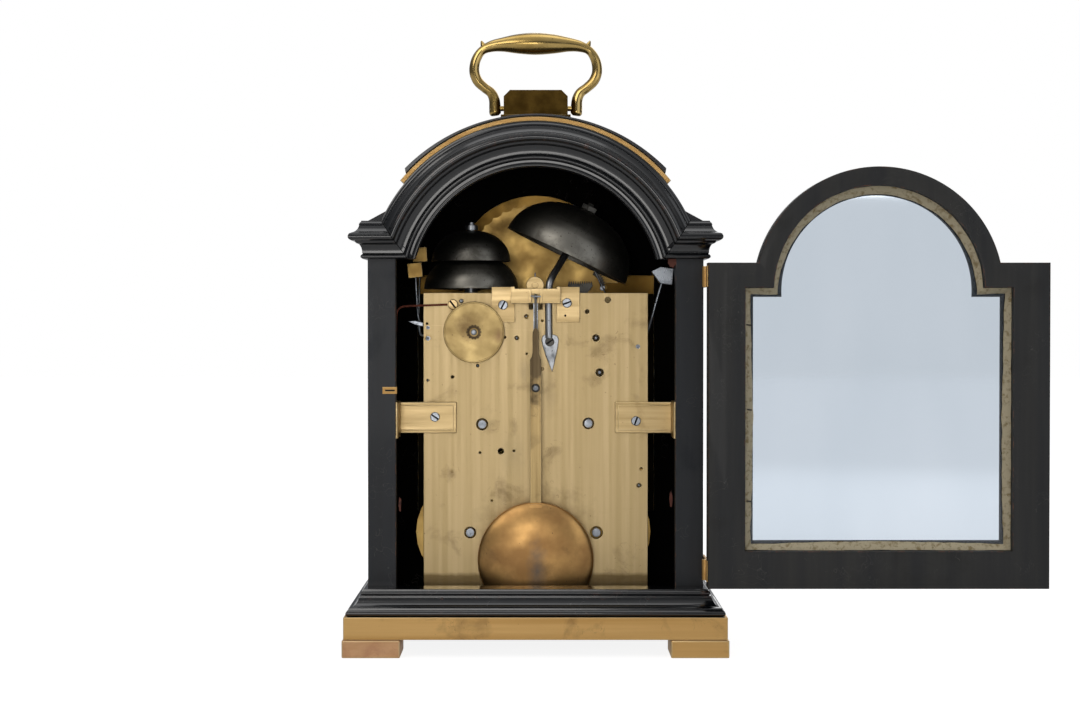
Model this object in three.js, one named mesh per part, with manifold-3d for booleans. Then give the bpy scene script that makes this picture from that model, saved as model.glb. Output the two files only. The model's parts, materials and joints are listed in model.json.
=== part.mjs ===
// Bracket clock: ebonised break-arch case, two-train fusee movement with three bells.
// Millimetres. X runs across the clock, Y from the dial (-) to the back (+), Z up, Z 0 under the plinth.
import * as THREE from 'three';
import { mergeVertices } from 'three/addons/utils/BufferGeometryUtils.js';
import Module from 'manifold-3d';

const wasm = await Module();
wasm.setup();

// ---- Driving dimensions -------------------------------------------------------------------

const fit = 0.3; // clearance between neighbouring pieces

// Carcass
const caseHalfWidth = 114.2;
const caseHalfDepth = 56;
const frameThickness = 12;
const stileWidth = 19;
const panelThickness = 10;
const springHeight = 255; // underside of the cornice
const archCentre = 232.9;
const archInner = 85.1;
const archLip = 4.3; // plain fascia between the opening and the moulding
const corniceHeight = 25.8;
const shoulderRise = 7; // slope from the cornice up to the arch
const roofThickness = 12;
const fretHalfWidth = 28; // recessed field for a sound fret in each side
const fretBottom = 88;
const fretSpring = 180;
const fretRecess = 3;

// Base
const plinthHeight = 15;
const plinthHalfDepth = 88.8;
const bandThickness = 2;
const baseTop = 32.5;
const shelfProud = 1.4; // top edge of the base moulding, beyond the carcass's sides
const mouldingReach = 12.8; // from the moulding's top edge out to the plinth's face
const wellHalfWidth = 100;
const wellHalfDepth = 45;
const wellFloor = 5;
const boardHalfWidth = 88; // bottom board, let into the plinth between the feet
const boardHalfDepth = 42;
const footSize = 39;
const footHeight = 12.1;
const footProud = 1;

// Top
const padSpan = 50.7; // degrees either side of the crown
const bandRise = 3.6;
const padRadius = 125;
const padCrown = 1.3; // thickness of the pad at its middle
const padHalfDepth = 58;
const blockHalfWidth = 22.4;
const blockHalfDepth = 12;
const blockRise = 18.8;
const blockChamfer = 4.4;
const flangeHalfWidth = 24.4;
const flangeHalfDepth = 15;
const flangeHeight = 6.6;
const handlePivotRise = 9; // above the pad's crown
const handlePinRadius = 1.8;

// Doors
const doorInset = 0.7; // the doors are this much narrower than the case on each side
const doorThickness = 18;
const doorBottom = 34.5;
const doorShoulder = 251.6;
const doorArch = 82.5;
const doorStile = 24.6;
const doorRail = 25.2;
const doorArchRail = 12.5;
const doorInnerShoulder = 235;
const rebateWidth = 6;
const rebateDepth = 12;
const glassThickness = 2;
const hingeHeight = 14;
const hingeKnuckle = 2.2;
const hingePlate = 1.5;

// Dial
const dialCentre = 160;
const dialHalfWidth = 86;
const dialArch = 59;
const dialArchCentre = 245;
const dialBack = -52;
const dialThickness = 2;
const chapterOuter = 78;
const chapterInner = 54;
const chapterThickness = 1.2;
const archDiscRadius = 52;
const archDiscTeeth = 40;

// Movement plates
const plateHalfWidth = 78;
const plateBottom = 22;
const plateAbove = 2.9; // the plates' top edge above the suspension point
const plateThickness = 3;
const backPlateFace = 24; // outer face of the back plate
const plateSpacing = 60; // between the plates
const pillarRadius = 4;

// Trains
const barrelRadius = 38;
const barrelLength = 47;
const arborRadius = 3.2;
const goingBarrel = { x: 45.6, z: 65.6 };
const strikeBarrel = { x: -42.2, z: 65.6 };
const goingFusee = { x: 37.2, z: 141 };
const strikeFusee = { x: -36.6, z: 141.6 };
const fuseeLarge = 25;
const fuseeSmall = 12;
const fuseeLength = 38;
const wheelThickness = 2.4;
const greatTeeth = 72;
const centreTeeth = 72;
const thirdTeeth = 66;
const escapeTeeth = 32;
const pinionLeaves = 6;
const strikeGreatRadius = 29;
const strikeGreatTeeth = 40;
const centreModule = 0.641; // centre wheel and third pinion
const thirdModule = 0.5987; // third wheel and escape pinion
const thirdOffset = 3.564; // third arbor to one side of the middle
const escapeRadius = 14.6;
const palletRise = 8.8; // pallet arbor above the escape wheel's rim

// Pendulum
const pendulumPlane = 36;
const bobRadius = 40;
const bobThickness = 17;
const bobCentre = 47.7;
const rodWidth = 7.7;
const rodThickness = 2.4;
const stripLength = 43.4; // from the suspension point to the rod's shoulder
const crutchLength = 62.8;
const crutchPinRadius = 1.6;

// Back cock and movement brackets
const cockFootWidth = 16;
const cockInner = 14.5;
const cockBelow = 17.4; // the cock's feet below the suspension point
const cockAbove = 7;
const bridgeBelow = 4.4;
const bridgeAbove = 5.6;
const notchBelow = 8.4; // notch in the back plate for the crutch
const bracketBottom = 135;
const bracketTop = 156.6;
const bracketInner = 55;
const bracketThickness = 3;
const flangeThickness = 2.6;
const flangeLet = 1.4; // how far the flange is let into the stile

// Bells and hammers
const hourBellPlane = 0;
const quarterBellPlane = -6;
const bellWall = 1.8;
const hourBellRadius = 46;
const hourBellHeight = 35;
const hourBellTilt = 25.7; // degrees
const hourBellX = -21.6;
const hourBellRise = 26.2; // rim's centre above the plates
const quarterAxis = 45.7;
const quarterRise = 3.1; // large bell's rim above the plates
const quarterNest = 19.4; // small bell's rim above the large one's
const largeQuarter = { radius: 33.3, height: 24 };
const smallQuarter = { radius: 27.8, height: 22 };
const bellStemRadius = 2.5;
const hourHammerX = -71.1;
const hourHammerDrop = 37.3; // hammer arbors below the plates' top edge
const quarterHammerDrops = [24.1, 31.6];
const hammerCube = 10.4;

// Pull repeat
const pulleyX = 42.8;
const pulleyDrop = 27.3; // below the plates' top edge
const pulleyRadius = 21.1;
const pulleyThickness = 2.8;
const rollerX = 57.4;
const rollerDrop = 8.1;
const rollerRadius = 3.6;
const cordRadius = 0.8;

// ---- Values that follow from them ----------------------------------------------------------

const archFascia = archInner + archLip;
const shelfHalfWidth = caseHalfWidth + shelfProud;
const plinthHalfWidth = shelfHalfWidth + mouldingReach;
const shelfHalfDepth = plinthHalfDepth - mouldingReach;
const doorHalfWidth = caseHalfWidth - doorInset;
const wallInside = caseHalfWidth - panelThickness;
const archOuter = archFascia + corniceHeight;
const corniceTop = springHeight + corniceHeight;
const openingHalfWidth = caseHalfWidth - stileWidth;
const frameInner = caseHalfDepth - frameThickness;
const carcassBottom = plinthHeight + fit;
const backPlateInner = backPlateFace - plateThickness;
const frontPlateBack = backPlateInner - plateSpacing;
const frontPlateFace = frontPlateBack - plateThickness;
const dialFace = dialBack - dialThickness;
const padCentreHeight = archCentre + archOuter + bandRise + fit + padCrown - padRadius;
const handlePivotHeight = padCentreHeight + padRadius + handlePivotRise;
const centreReach = (centreModule * (centreTeeth + pinionLeaves)) / 2;
const thirdReach = (thirdModule * (thirdTeeth + pinionLeaves)) / 2;
const thirdHeight = dialCentre + Math.sqrt(centreReach ** 2 - thirdOffset ** 2);
const escapeHeight = thirdHeight + Math.sqrt(thirdReach ** 2 - thirdOffset ** 2);
const suspensionHeight = escapeHeight + escapeRadius + palletRise;
const rodShoulder = suspensionHeight - stripLength;
const crutchPin = suspensionHeight - crutchLength;
const plateTop = suspensionHeight + plateAbove;
const cockBottom = suspensionHeight - cockBelow;
const cockTop = suspensionHeight + cockAbove;
const bridgeBottom = suspensionHeight - bridgeBelow;
const bridgeTop = suspensionHeight + bridgeAbove;
const hourBellRim = { x: hourBellX, z: plateTop + hourBellRise };
const largeRim = plateTop + quarterRise;
const smallRim = largeRim + quarterNest;
const hourHammerPivot = { x: hourHammerX, z: plateTop - hourHammerDrop };
const quarterHammers = [
  { x: 74.8, head: { x: wallInside - 18.9, z: largeRim + 13.2 }, y: -6, turn: 6 },
  { x: 74.9, head: { x: wallInside - 21.6, z: smallRim + 5.2 }, y: -20, turn: 3 },
].map((hammer, i) => ({ ...hammer, pivot: { x: hammer.x, z: plateTop - quarterHammerDrops[i] } }));
const pulleyCentre = { x: pulleyX, z: plateTop - pulleyDrop };
const rollerCentre = { x: rollerX, z: plateTop - rollerDrop };

// ---- Materials -----------------------------------------------------------------------------

const finish = (color, roughness, metalness) =>
  new THREE.MeshStandardMaterial({ color, roughness, metalness });
const ebony = finish(0x17191f, 0.3, 0);
const plateBrass = finish(0xbfa56c, 0.45, 1);
const bandBrass = finish(0xb08a45, 0.5, 1);
const giltBrass = finish(0xc09a45, 0.25, 1);
const bobBrass = finish(0x9a7334, 0.45, 1);
const steel = finish(0x8a8f96, 0.35, 1);
const bellMetal = finish(0x5b5850, 0.4, 1);
const silvered = finish(0xc9c6bb, 0.5, 0.7);
const blued = finish(0x1b2238, 0.3, 0.9);
const cordRed = finish(0x8a4a35, 0.9, 0);
const paleGlass = new THREE.MeshStandardMaterial({
  color: 0xa9b4bf, roughness: 0.1, metalness: 0, transparent: true, opacity: 0.5,
});

// ---- Solids and booleans -------------------------------------------------------------------

function solidOf(geometry) {
  const bare = new THREE.BufferGeometry();
  bare.setAttribute('position', geometry.getAttribute('position').clone());
  if (geometry.index) bare.setIndex(geometry.index.clone());
  const merged = mergeVertices(bare, 1e-4);
  return new wasm.Manifold(new wasm.Mesh({
    numProp: 3,
    vertProperties: merged.attributes.position.array,
    triVerts: new Uint32Array(merged.index.array),
  }));
}

function geometryOf(solid) {
  const mesh = solid.getMesh();
  const geometry = new THREE.BufferGeometry();
  geometry.setAttribute('position', new THREE.BufferAttribute(mesh.vertProperties, 3));
  geometry.setIndex(new THREE.BufferAttribute(mesh.triVerts, 1));
  return geometry;
}

function join(...geometries) {
  return geometryOf(geometries.map(solidOf).reduce((a, b) => a.add(b)));
}

function cut(base, ...tools) {
  return geometryOf(tools.map(solidOf).reduce((a, b) => a.subtract(b), solidOf(base)));
}

// A box between two corners.
function block(x0, x1, y0, y1, z0, z1) {
  const geometry = new THREE.BoxGeometry(x1 - x0, y1 - y0, z1 - z0);
  return geometry.translate((x0 + x1) / 2, (y0 + y1) / 2, (z0 + z1) / 2);
}

// A shape drawn in X and Z, made thick from y0 to y1.
function slab(shape, y0, y1, curveSegments = 14) {
  const geometry = new THREE.ExtrudeGeometry(shape, { depth: y1 - y0, bevelEnabled: false, curveSegments });
  return geometry.rotateX(Math.PI / 2).translate(0, y1, 0);
}

// A round bar along Y.
function bar(place, radius, y0, y1, sides = 12) {
  const geometry = new THREE.CylinderGeometry(radius, radius, y1 - y0, sides);
  return geometry.translate(place.x, (y0 + y1) / 2, place.z);
}

// A turned piece about an axis along Y; the profile lists radius and Y.
function turned(place, profile, segments = 24) {
  const points = profile.map(([r, y]) => new THREE.Vector2(r, y));
  return outward(new THREE.LatheGeometry(points, segments)).translate(place.x, 0, place.z);
}

// Turns a closed mesh so that its faces point out.
function outward(geometry) {
  const place = geometry.getAttribute('position');
  const index = geometry.index.array;
  const [a, b, c] = [new THREE.Vector3(), new THREE.Vector3(), new THREE.Vector3()];
  let volume = 0;
  for (let i = 0; i < index.length; i += 3) {
    a.fromBufferAttribute(place, index[i]);
    b.fromBufferAttribute(place, index[i + 1]);
    c.fromBufferAttribute(place, index[i + 2]);
    volume += a.dot(b.cross(c));
  }
  if (volume < 0) {
    for (let i = 0; i < index.length; i += 3) {
      [index[i + 1], index[i + 2]] = [index[i + 2], index[i + 1]];
    }
  }
  return geometry;
}

// Skins a row of rings that have the same number of points; the ends are closed by the contour.
function loft(rings, contour, endless = false) {
  const count = rings[0].length;
  const positions = rings.flat().flatMap((p) => [p.x, p.y, p.z]);
  const index = [];
  const last = endless ? rings.length : rings.length - 1;
  for (let i = 0; i < last; i += 1) {
    const here = i * count;
    const next = ((i + 1) % rings.length) * count;
    for (let j = 0; j < count; j += 1) {
      const k = (j + 1) % count;
      index.push(here + j, next + j, next + k, here + j, next + k, here + k);
    }
  }
  if (!endless) {
    const end = (rings.length - 1) * count;
    const forward = THREE.ShapeUtils.area(contour) > 0;
    for (const triangle of THREE.ShapeUtils.triangulateShape(contour, [])) {
      const [p, q, r] = forward ? triangle : [...triangle].reverse();
      index.push(p, q, r, end + p, end + r, end + q);
    }
  }
  const geometry = new THREE.BufferGeometry();
  geometry.setAttribute('position', new THREE.Float32BufferAttribute(positions, 3));
  geometry.setIndex(index);
  return outward(geometry);
}

// A rod of changing radius along a smooth route.
function taperedRod(route, radii, steps, sides) {
  const curve = new THREE.CatmullRomCurve3(route, false, 'centripetal');
  const frames = curve.computeFrenetFrames(steps, false);
  const circle = Array.from({ length: sides }, (_, i) => {
    const angle = (-2 * Math.PI * i) / sides;
    return new THREE.Vector2(Math.cos(angle), Math.sin(angle));
  });
  const rings = [];
  for (let i = 0; i <= steps; i += 1) {
    const at = curve.getPointAt(i / steps);
    const share = curve.getUtoTmapping(i / steps) * (radii.length - 1);
    const low = Math.min(Math.floor(share), radii.length - 2);
    const radius = THREE.MathUtils.lerp(radii[low], radii[low + 1], share - low);
    rings.push(circle.map((c) => at.clone()
      .addScaledVector(frames.normals[i], c.x * radius)
      .addScaledVector(frames.binormals[i], c.y * radius)));
  }
  return loft(rings, circle);
}

const point = (x, y, z) => new THREE.Vector3(x, y, z);

// ---- Outlines ------------------------------------------------------------------------------

// A break-arch outline: square shoulders and a round head.
function archedShape({ halfWidth, bottom, shoulder, radius, centre, grow = 0 }) {
  const width = halfWidth + grow;
  const top = shoulder + grow;
  const reach = radius + grow;
  const angle = Math.asin((top - centre) / reach);
  const shape = new THREE.Shape();
  shape.moveTo(-width, bottom - grow);
  shape.lineTo(width, bottom - grow);
  shape.lineTo(width, top);
  shape.lineTo(reach * Math.cos(angle), top);
  shape.absarc(0, centre, reach, angle, Math.PI - angle, false);
  shape.lineTo(-width, top);
  shape.closePath();
  return shape;
}

// The carcass seen from the front: straight sides, sloping shoulders and the arch.
function carcassShape(bottom) {
  const shoulder = corniceTop + shoulderRise;
  const angle = Math.asin((shoulder - archCentre) / archOuter);
  const shape = new THREE.Shape();
  shape.moveTo(-caseHalfWidth, bottom);
  shape.lineTo(caseHalfWidth, bottom);
  shape.lineTo(caseHalfWidth, corniceTop);
  shape.lineTo(archOuter * Math.cos(angle), shoulder);
  shape.absarc(0, archCentre, archOuter, angle, Math.PI - angle, false);
  shape.lineTo(-caseHalfWidth, corniceTop);
  shape.closePath();
  return shape;
}

const backOpening = {
  halfWidth: openingHalfWidth,
  bottom: 0,
  shoulder: springHeight,
  radius: archInner,
  centre: archCentre,
};
const dialOutline = {
  halfWidth: dialHalfWidth,
  bottom: dialCentre - dialHalfWidth,
  shoulder: dialCentre + dialHalfWidth,
  radius: dialArch,
  centre: dialArchCentre,
};
const doorOutline = {
  halfWidth: doorHalfWidth,
  bottom: doorBottom,
  shoulder: doorShoulder,
  radius: doorArch,
  centre: archCentre,
};
const doorRebate = {
  halfWidth: doorHalfWidth - doorStile,
  bottom: doorBottom + doorRail,
  shoulder: doorInnerShoulder,
  radius: doorArch - doorArchRail,
  centre: archCentre,
};

// ---- The clock -----------------------------------------------------------------------------

const clock = new THREE.Group();

function add(name, geometry, material, parent = clock) {
  const mesh = new THREE.Mesh(geometry, material);
  mesh.name = name;
  parent.add(mesh);
  return mesh;
}

// Base: a wooden tray bound with brass, a moulding round it and four block feet.
{
  const trayHalfWidth = plinthHalfWidth - bandThickness - fit;
  const trayHalfDepth = plinthHalfDepth - bandThickness - fit;
  add('plinth', cut(
    block(-trayHalfWidth, trayHalfWidth, -trayHalfDepth, trayHalfDepth, 0, plinthHeight),
    block(-wellHalfWidth, wellHalfWidth, -wellHalfDepth, wellHalfDepth, wellFloor, plinthHeight + 1),
    block(-boardHalfWidth - fit, boardHalfWidth + fit, -boardHalfDepth - fit, boardHalfDepth + fit,
      -1, plinthHeight + 1),
  ), ebony);
  const board = block(-boardHalfWidth, boardHalfWidth, -boardHalfDepth, boardHalfDepth, 0, wellFloor);
  add('bottom_board', board, ebony);
  add('plinth_band', cut(
    block(-plinthHalfWidth, plinthHalfWidth, -plinthHalfDepth, plinthHalfDepth, 0, plinthHeight),
    block(-plinthHalfWidth + bandThickness, plinthHalfWidth - bandThickness,
      -plinthHalfDepth + bandThickness, plinthHalfDepth - bandThickness, -1, plinthHeight + 1),
  ), bandBrass);
  const outX = plinthHalfWidth + footProud;
  const outY = plinthHalfDepth + footProud;
  for (const [name, sx, sy] of [
    ['foot_back_left', 1, 1], ['foot_back_right', -1, 1],
    ['foot_front_left', 1, -1], ['foot_front_right', -1, -1],
  ]) {
    const foot = block(-footSize / 2, footSize / 2, -footSize / 2, footSize / 2, -footHeight, -fit);
    add(name, foot, bandBrass).position.set(sx * (outX - footSize / 2), sy * (outY - footSize / 2), 0);
  }
}

// The base moulding, from its bottom edge up: how far it stands out from its top edge, and its height.
{
  const profile = [
    [10.4, carcassBottom], [11.4, 16.4], [11.2, 18.2], [9.7, 19.2], [9.4, 20.8],
    [6.6, 22.1], [4.4, 23.8], [3.2, 26], [2.4, 28.6], [1.2, 29.2], [1.1, 31.4], [0, baseTop],
  ];
  const ring = (halfWidth, halfDepth, z) => [
    point(halfWidth, halfDepth, z), point(-halfWidth, halfDepth, z),
    point(-halfWidth, -halfDepth, z), point(halfWidth, -halfDepth, z),
  ];
  const inside = [caseHalfWidth + fit, caseHalfDepth + fit];
  const rings = profile.map(([out, z]) => ring(shelfHalfWidth + out, shelfHalfDepth + out, z));
  rings.push(ring(...inside, baseTop), ring(...inside, carcassBottom));
  add('base_moulding', loft(rings, [], true), ebony);
}

// Carcass: a frame at the back, a board with the dial's opening at the front, two sides and the roof.
function carcassFrame(opening, y0, y1) {
  return cut(slab(carcassShape(carcassBottom), y0, y1), slab(archedShape(opening), y0 - 1, y1 + 1));
}
{
  const pockets = [1, -1].map((side) => {
    const inner = openingHalfWidth - 1;
    const outer = openingHalfWidth + flangeLet + fit;
    return block(Math.min(side * inner, side * outer), Math.max(side * inner, side * outer),
      frameInner - 1, caseHalfDepth + 1, bracketBottom - 2.5 - fit, bracketTop + 1 + fit);
  });
  add('back_frame', cut(carcassFrame(backOpening, frameInner, caseHalfDepth), ...pockets), ebony);
}
add('front_frame', carcassFrame({ ...dialOutline, grow: fit }, -caseHalfDepth, -frameInner), ebony);

for (const [name, side] of [['side_panel_left', 1], ['side_panel_right', -1]]) {
  const inner = wallInside;
  const depth = frameInner - fit;
  const fret = new THREE.Shape();
  fret.moveTo(-fretHalfWidth, fretBottom);
  fret.lineTo(fretHalfWidth, fretBottom);
  fret.lineTo(fretHalfWidth, fretSpring);
  fret.absarc(0, fretSpring, fretHalfWidth, 0, Math.PI, false);
  fret.closePath();
  const recess = slab(fret, 0, fretRecess + 1, 10).rotateZ(-Math.PI / 2)
    .translate(side > 0 ? caseHalfWidth - fretRecess : -caseHalfWidth - 1, 0, 0);
  const outer = side * caseHalfWidth;
  const board = block(Math.min(side * inner, outer), Math.max(side * inner, outer),
    -depth, depth, carcassBottom, springHeight);
  add(name, cut(board, recess), ebony);
}
{
  const depth = frameInner - fit;
  const hollow = new THREE.Shape();
  hollow.absarc(0, archCentre, archOuter - roofThickness, 0, Math.PI, false);
  hollow.closePath();
  add('roof', cut(
    slab(carcassShape(springHeight + fit), -depth, depth),
    slab(hollow, -depth - 1, depth + 1),
  ), ebony);
}

// Cornice and arch share one profile: height above the cornice's underside, and projection.
const corniceProfile = [
  [0, 3.3], [1.2, 4.5], [2.8, 4.4], [3.8, 3.5], [6.8, 3.9], [9.8, 5.2], [12, 7.4], [12.2, 10.4],
  [14.4, 12.6], [16, 12.5], [18, 9.8], [20.2, 6.5], [25, 4.2], [corniceHeight, 3.9],
];
const lipProfile = [[-archLip, 3.2], [-2.4, 3.2], [-1.8, 2.4]];

// Where the arch moulding and the straight cornice meet, at a height above the cornice's underside.
function mitre(rise) {
  const height = springHeight + Math.max(rise, 0) - archCentre;
  const radius = archFascia + rise;
  return { x: Math.sqrt(radius * radius - height * height), angle: Math.asin(height / radius) };
}

function archMoulding(side) {
  const steps = 20;
  const section = [[-archLip, fit], ...lipProfile, ...corniceProfile, [corniceHeight, fit]];
  const gap = fit / archOuter;
  const rings = [];
  for (let i = 0; i <= steps; i += 1) {
    rings.push(section.map(([rise, out]) => {
      const start = mitre(rise).angle + gap;
      const angle = start + ((Math.PI - 2 * start) * i) / steps;
      const radius = archFascia + rise;
      const height = archCentre + radius * Math.sin(angle);
      return point(radius * Math.cos(angle), side * (caseHalfDepth + out), height);
    }));
  }
  return loft(rings, section.map(([rise, out]) => new THREE.Vector2(rise, out)));
}
add('arch_moulding_back', archMoulding(1), ebony);
add('arch_moulding_front', archMoulding(-1), ebony);

// The straight cornice runs from the back mitre round the side to the front mitre.
for (const [name, side] of [['cornice_left', 1], ['cornice_right', -1]]) {
  const section = [[0, fit], ...corniceProfile, [corniceHeight, fit]];
  const rings = [0, 1, 2, 3].map((corner) => section.map(([rise, out]) => {
    const end = corner === 0 || corner === 3;
    const face = corner < 2 ? 1 : -1;
    const x = end ? mitre(rise).x + fit : caseHalfWidth + out;
    return point(side * x, face * (caseHalfDepth + out), springHeight + rise);
  }));
  add(name, loft(rings, section.map(([rise, out]) => new THREE.Vector2(rise, out))), ebony);
}

// Top: a brass band over the arch, a dark pad on it, and the block that carries the handle.
function arcShape(inner, outer, span) {
  const from = Math.PI / 2 - THREE.MathUtils.degToRad(span);
  const shape = new THREE.Shape();
  shape.absarc(0, archCentre, outer, from, Math.PI - from, false);
  shape.absarc(0, archCentre, inner, Math.PI - from, from, true);
  shape.closePath();
  return shape;
}
{
  const bandInner = archOuter + fit;
  const bandOuter = bandInner + bandRise - fit;
  add('pad_band', slab(arcShape(bandInner, bandOuter, padSpan), -padHalfDepth, padHalfDepth, 16), bandBrass);

  const under = bandOuter + fit;
  const tip = THREE.MathUtils.degToRad(90 - padSpan + 3);
  const tipPoint = { x: under * Math.cos(tip), z: archCentre + under * Math.sin(tip) };
  const topTip = Math.acos((tipPoint.x + 0.6) / padRadius);
  const pad = new THREE.Shape();
  pad.absarc(0, archCentre, under, Math.PI - tip, tip, true);
  pad.absarc(0, padCentreHeight, padRadius, topTip, Math.PI - topTip, false);
  pad.closePath();
  add('top_pad', slab(pad, -padHalfDepth - 1, padHalfDepth + 1, 16), ebony);

  const flangeTop = padCentreHeight + padRadius + flangeHeight;
  const blockTop = flangeTop + blockRise - blockChamfer;
  const prism = new THREE.Shape();
  prism.moveTo(-blockHalfWidth, padCentreHeight + padRadius - 4);
  prism.lineTo(blockHalfWidth, padCentreHeight + padRadius - 4);
  prism.lineTo(blockHalfWidth, blockTop - blockChamfer);
  prism.lineTo(blockHalfWidth - blockChamfer, blockTop);
  prism.lineTo(blockChamfer - blockHalfWidth, blockTop);
  prism.lineTo(-blockHalfWidth, blockTop - blockChamfer);
  prism.closePath();
  const flange = block(-flangeHalfWidth, flangeHalfWidth, -flangeHalfDepth, flangeHalfDepth,
    padCentreHeight + padRadius - 4, flangeTop - 3);
  const saddle = bar({ x: 0, z: padCentreHeight }, padRadius + fit, -30, 30, 128);
  const pinHoles = new THREE.CylinderGeometry(handlePinRadius + fit, handlePinRadius + fit, 80, 12)
    .rotateZ(Math.PI / 2).translate(0, 0, handlePivotHeight);
  add('handle_block', cut(
    join(slab(prism, -blockHalfDepth, blockHalfDepth), flange), saddle, pinHoles,
  ), giltBrass);
}

// The carrying handle: a bail that swells at the grip, with a pin from each foot into the block.
{
  const half = [
    [28.6, -4.7, 3.5], [28.7, 0, 3.9], [29.2, 6.3, 3.7], [31.4, 11.1, 3.5], [36, 14.7, 3.5],
    [40.6, 19.1, 3.5], [43, 24.7, 3.5], [43, 30.5, 3.5], [41.2, 36.1, 3.4], [37.4, 41.1, 3.3],
    [31, 44, 3.8], [23.3, 45.2, 4.7], [12.6, 45.7, 6.6],
  ];
  const route = [...half, [0, 45.8, 7.6], ...half.map(([x, z, r]) => [-x, z, r]).reverse()];
  const bail = taperedRod(route.map(([x, z]) => point(x, 0, z)), route.map(([, , r]) => r), 40, 8);
  const pins = [1, -1].map((side) => new THREE.CylinderGeometry(handlePinRadius, handlePinRadius, 14, 12)
    .rotateZ(Math.PI / 2).translate(side * 24.5, 0, 0));
  const handle = new THREE.Group();
  handle.position.set(0, 0, handlePivotHeight);
  clock.add(handle);
  add('carrying_handle', join(bail, ...pins), giltBrass, handle);
}

// Doors, drawn shut with the inner face at Y 0 and the outer face at the door's thickness,
// then hung on their hinge axis. The back door stands open half a turn, the front door is shut.
const doorGap = caseHalfDepth + fit;
const hingeHeights = [doorBottom + 4, doorShoulder - hingeHeight - 2];

function doorFrame() {
  const axis = { x: -caseHalfWidth, y: doorThickness };
  const sight = { ...doorRebate, grow: -rebateWidth };
  const notches = hingeHeights.map((z) => new THREE.CylinderGeometry(
    hingeKnuckle + fit, hingeKnuckle + fit, hingeHeight + 2 * fit, 16,
  ).rotateX(Math.PI / 2).translate(axis.x, axis.y, z + hingeHeight / 2));
  return cut(
    slab(archedShape(doorOutline), 0, doorThickness),
    slab(archedShape(sight), -1, doorThickness + 1),
    slab(archedShape(doorRebate), -1, rebateDepth),
    ...notches,
  );
}

function doorGlass() {
  const back = rebateDepth - fit;
  return slab(archedShape({ ...doorRebate, grow: -fit }), back - glassThickness, back);
}

function hinge(z) {
  const plate = block(-caseHalfWidth - fit - hingePlate, -caseHalfWidth - fit,
    -frameThickness, doorThickness - hingeKnuckle / 2, z, z + hingeHeight);
  const knuckle = new THREE.CylinderGeometry(hingeKnuckle, hingeKnuckle, hingeHeight, 16)
    .rotateX(Math.PI / 2).translate(-caseHalfWidth, doorThickness, z + hingeHeight / 2);
  const arm = block(-caseHalfWidth - fit - hingePlate, -caseHalfWidth - fit,
    doorThickness - hingeKnuckle / 2 - 1, doorThickness, z, z + hingeHeight);
  return join(plate, arm, knuckle);
}

// Places the door and its hinges; turn 0 is the back of the clock, half a turn is its front.
function hangDoor(label, turn, openAngle) {
  const wall = new THREE.Group();
  wall.rotation.z = turn;
  clock.add(wall);
  const leaf = new THREE.Group();
  leaf.position.set(-caseHalfWidth, doorGap + doorThickness, 0);
  leaf.rotation.z = openAngle;
  wall.add(leaf);
  const toAxis = (geometry) => geometry.translate(caseHalfWidth, -doorThickness, 0);
  add(`${label}_door_frame`, toAxis(doorFrame()), ebony, leaf);
  add(`${label}_door_glass`, toAxis(doorGlass()), paleGlass, leaf);
  ['bottom', 'top'].forEach((where, i) => {
    add(`${label}_hinge_${where}`, hinge(hingeHeights[i]).translate(0, doorGap, 0), plateBrass, wall);
  });
}
hangDoor('back', 0, Math.PI);
hangDoor('front', Math.PI, 0);

// ---- Wheels --------------------------------------------------------------------------------

// A toothed outline: each tooth narrows from its base, a share of the pitch, to a point.
function toothedShape({ teeth, radius, above, below, base, phase = 0 }) {
  const shape = new THREE.Shape();
  for (let i = 0; i < teeth; i += 1) {
    const middle = phase + (2 * Math.PI * i) / teeth;
    const pitch = (2 * Math.PI) / teeth;
    const corners = [[radius - below, -base / 2], [radius + above, 0], [radius - below, base / 2]];
    corners.forEach(([r, share], j) => {
      const angle = middle + share * pitch;
      const x = r * Math.cos(angle);
      const z = r * Math.sin(angle);
      if (i === 0 && j === 0) shape.moveTo(x, z);
      else shape.lineTo(x, z);
    });
  }
  shape.closePath();
  return shape;
}

// A mesh of a wheel and a pinion between two arbors: their sizes and the directions of their teeth.
function mesh(driver, driven, wheelTeeth) {
  const dx = driven.x - driver.x;
  const dz = driven.z - driver.z;
  const distance = Math.hypot(dx, dz);
  const module = (2 * distance) / (wheelTeeth + pinionLeaves);
  const toward = Math.atan2(dz, dx);
  return {
    wheel: {
      teeth: wheelTeeth, radius: (module * wheelTeeth) / 2, above: 0.8 * module, below: 0.9 * module,
      base: 0.56, phase: toward,
    },
    pinion: {
      teeth: pinionLeaves, radius: (module * pinionLeaves) / 2, above: 0.6 * module, below: 1.3 * module,
      base: 0.56, phase: toward + Math.PI + Math.PI / pinionLeaves,
    },
  };
}

// A toothed disc standing on an arbor.
function gear(place, teethOutline, y0, y1) {
  return slab(toothedShape(teethOutline), y0, y1).translate(place.x, 0, place.z);
}

const centreArbor = { x: 0, z: dialCentre };
const escapeArbor = { x: 0, z: escapeHeight };
const thirdArbor = { x: thirdOffset, z: thirdHeight };
const palletArbor = { x: 0, z: suspensionHeight };
const greatMesh = mesh(goingFusee, centreArbor, greatTeeth);
const centreMesh = mesh(centreArbor, thirdArbor, centreTeeth);
const thirdMesh = mesh(thirdArbor, escapeArbor, thirdTeeth);

const pivotRadius = 1.5;
const slimArbor = 1; // third and escape arbors
const frontPivot = frontPlateFace + 0.4;
const backPivot = backPlateFace - 0.4;
const greatWheelFront = frontPlateBack + 3;
const centreWheelFront = backPlateInner - 7;
const thirdWheelFront = backPlateInner - 21;
const escapeWheelFront = backPlateInner - 11.5;
const minuteHandPlane = dialFace - 8.5;
const hourHandPlane = dialFace - 5;
const centreArborRadius = 2.2;
const hourPipeRadius = 3.6;

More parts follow.
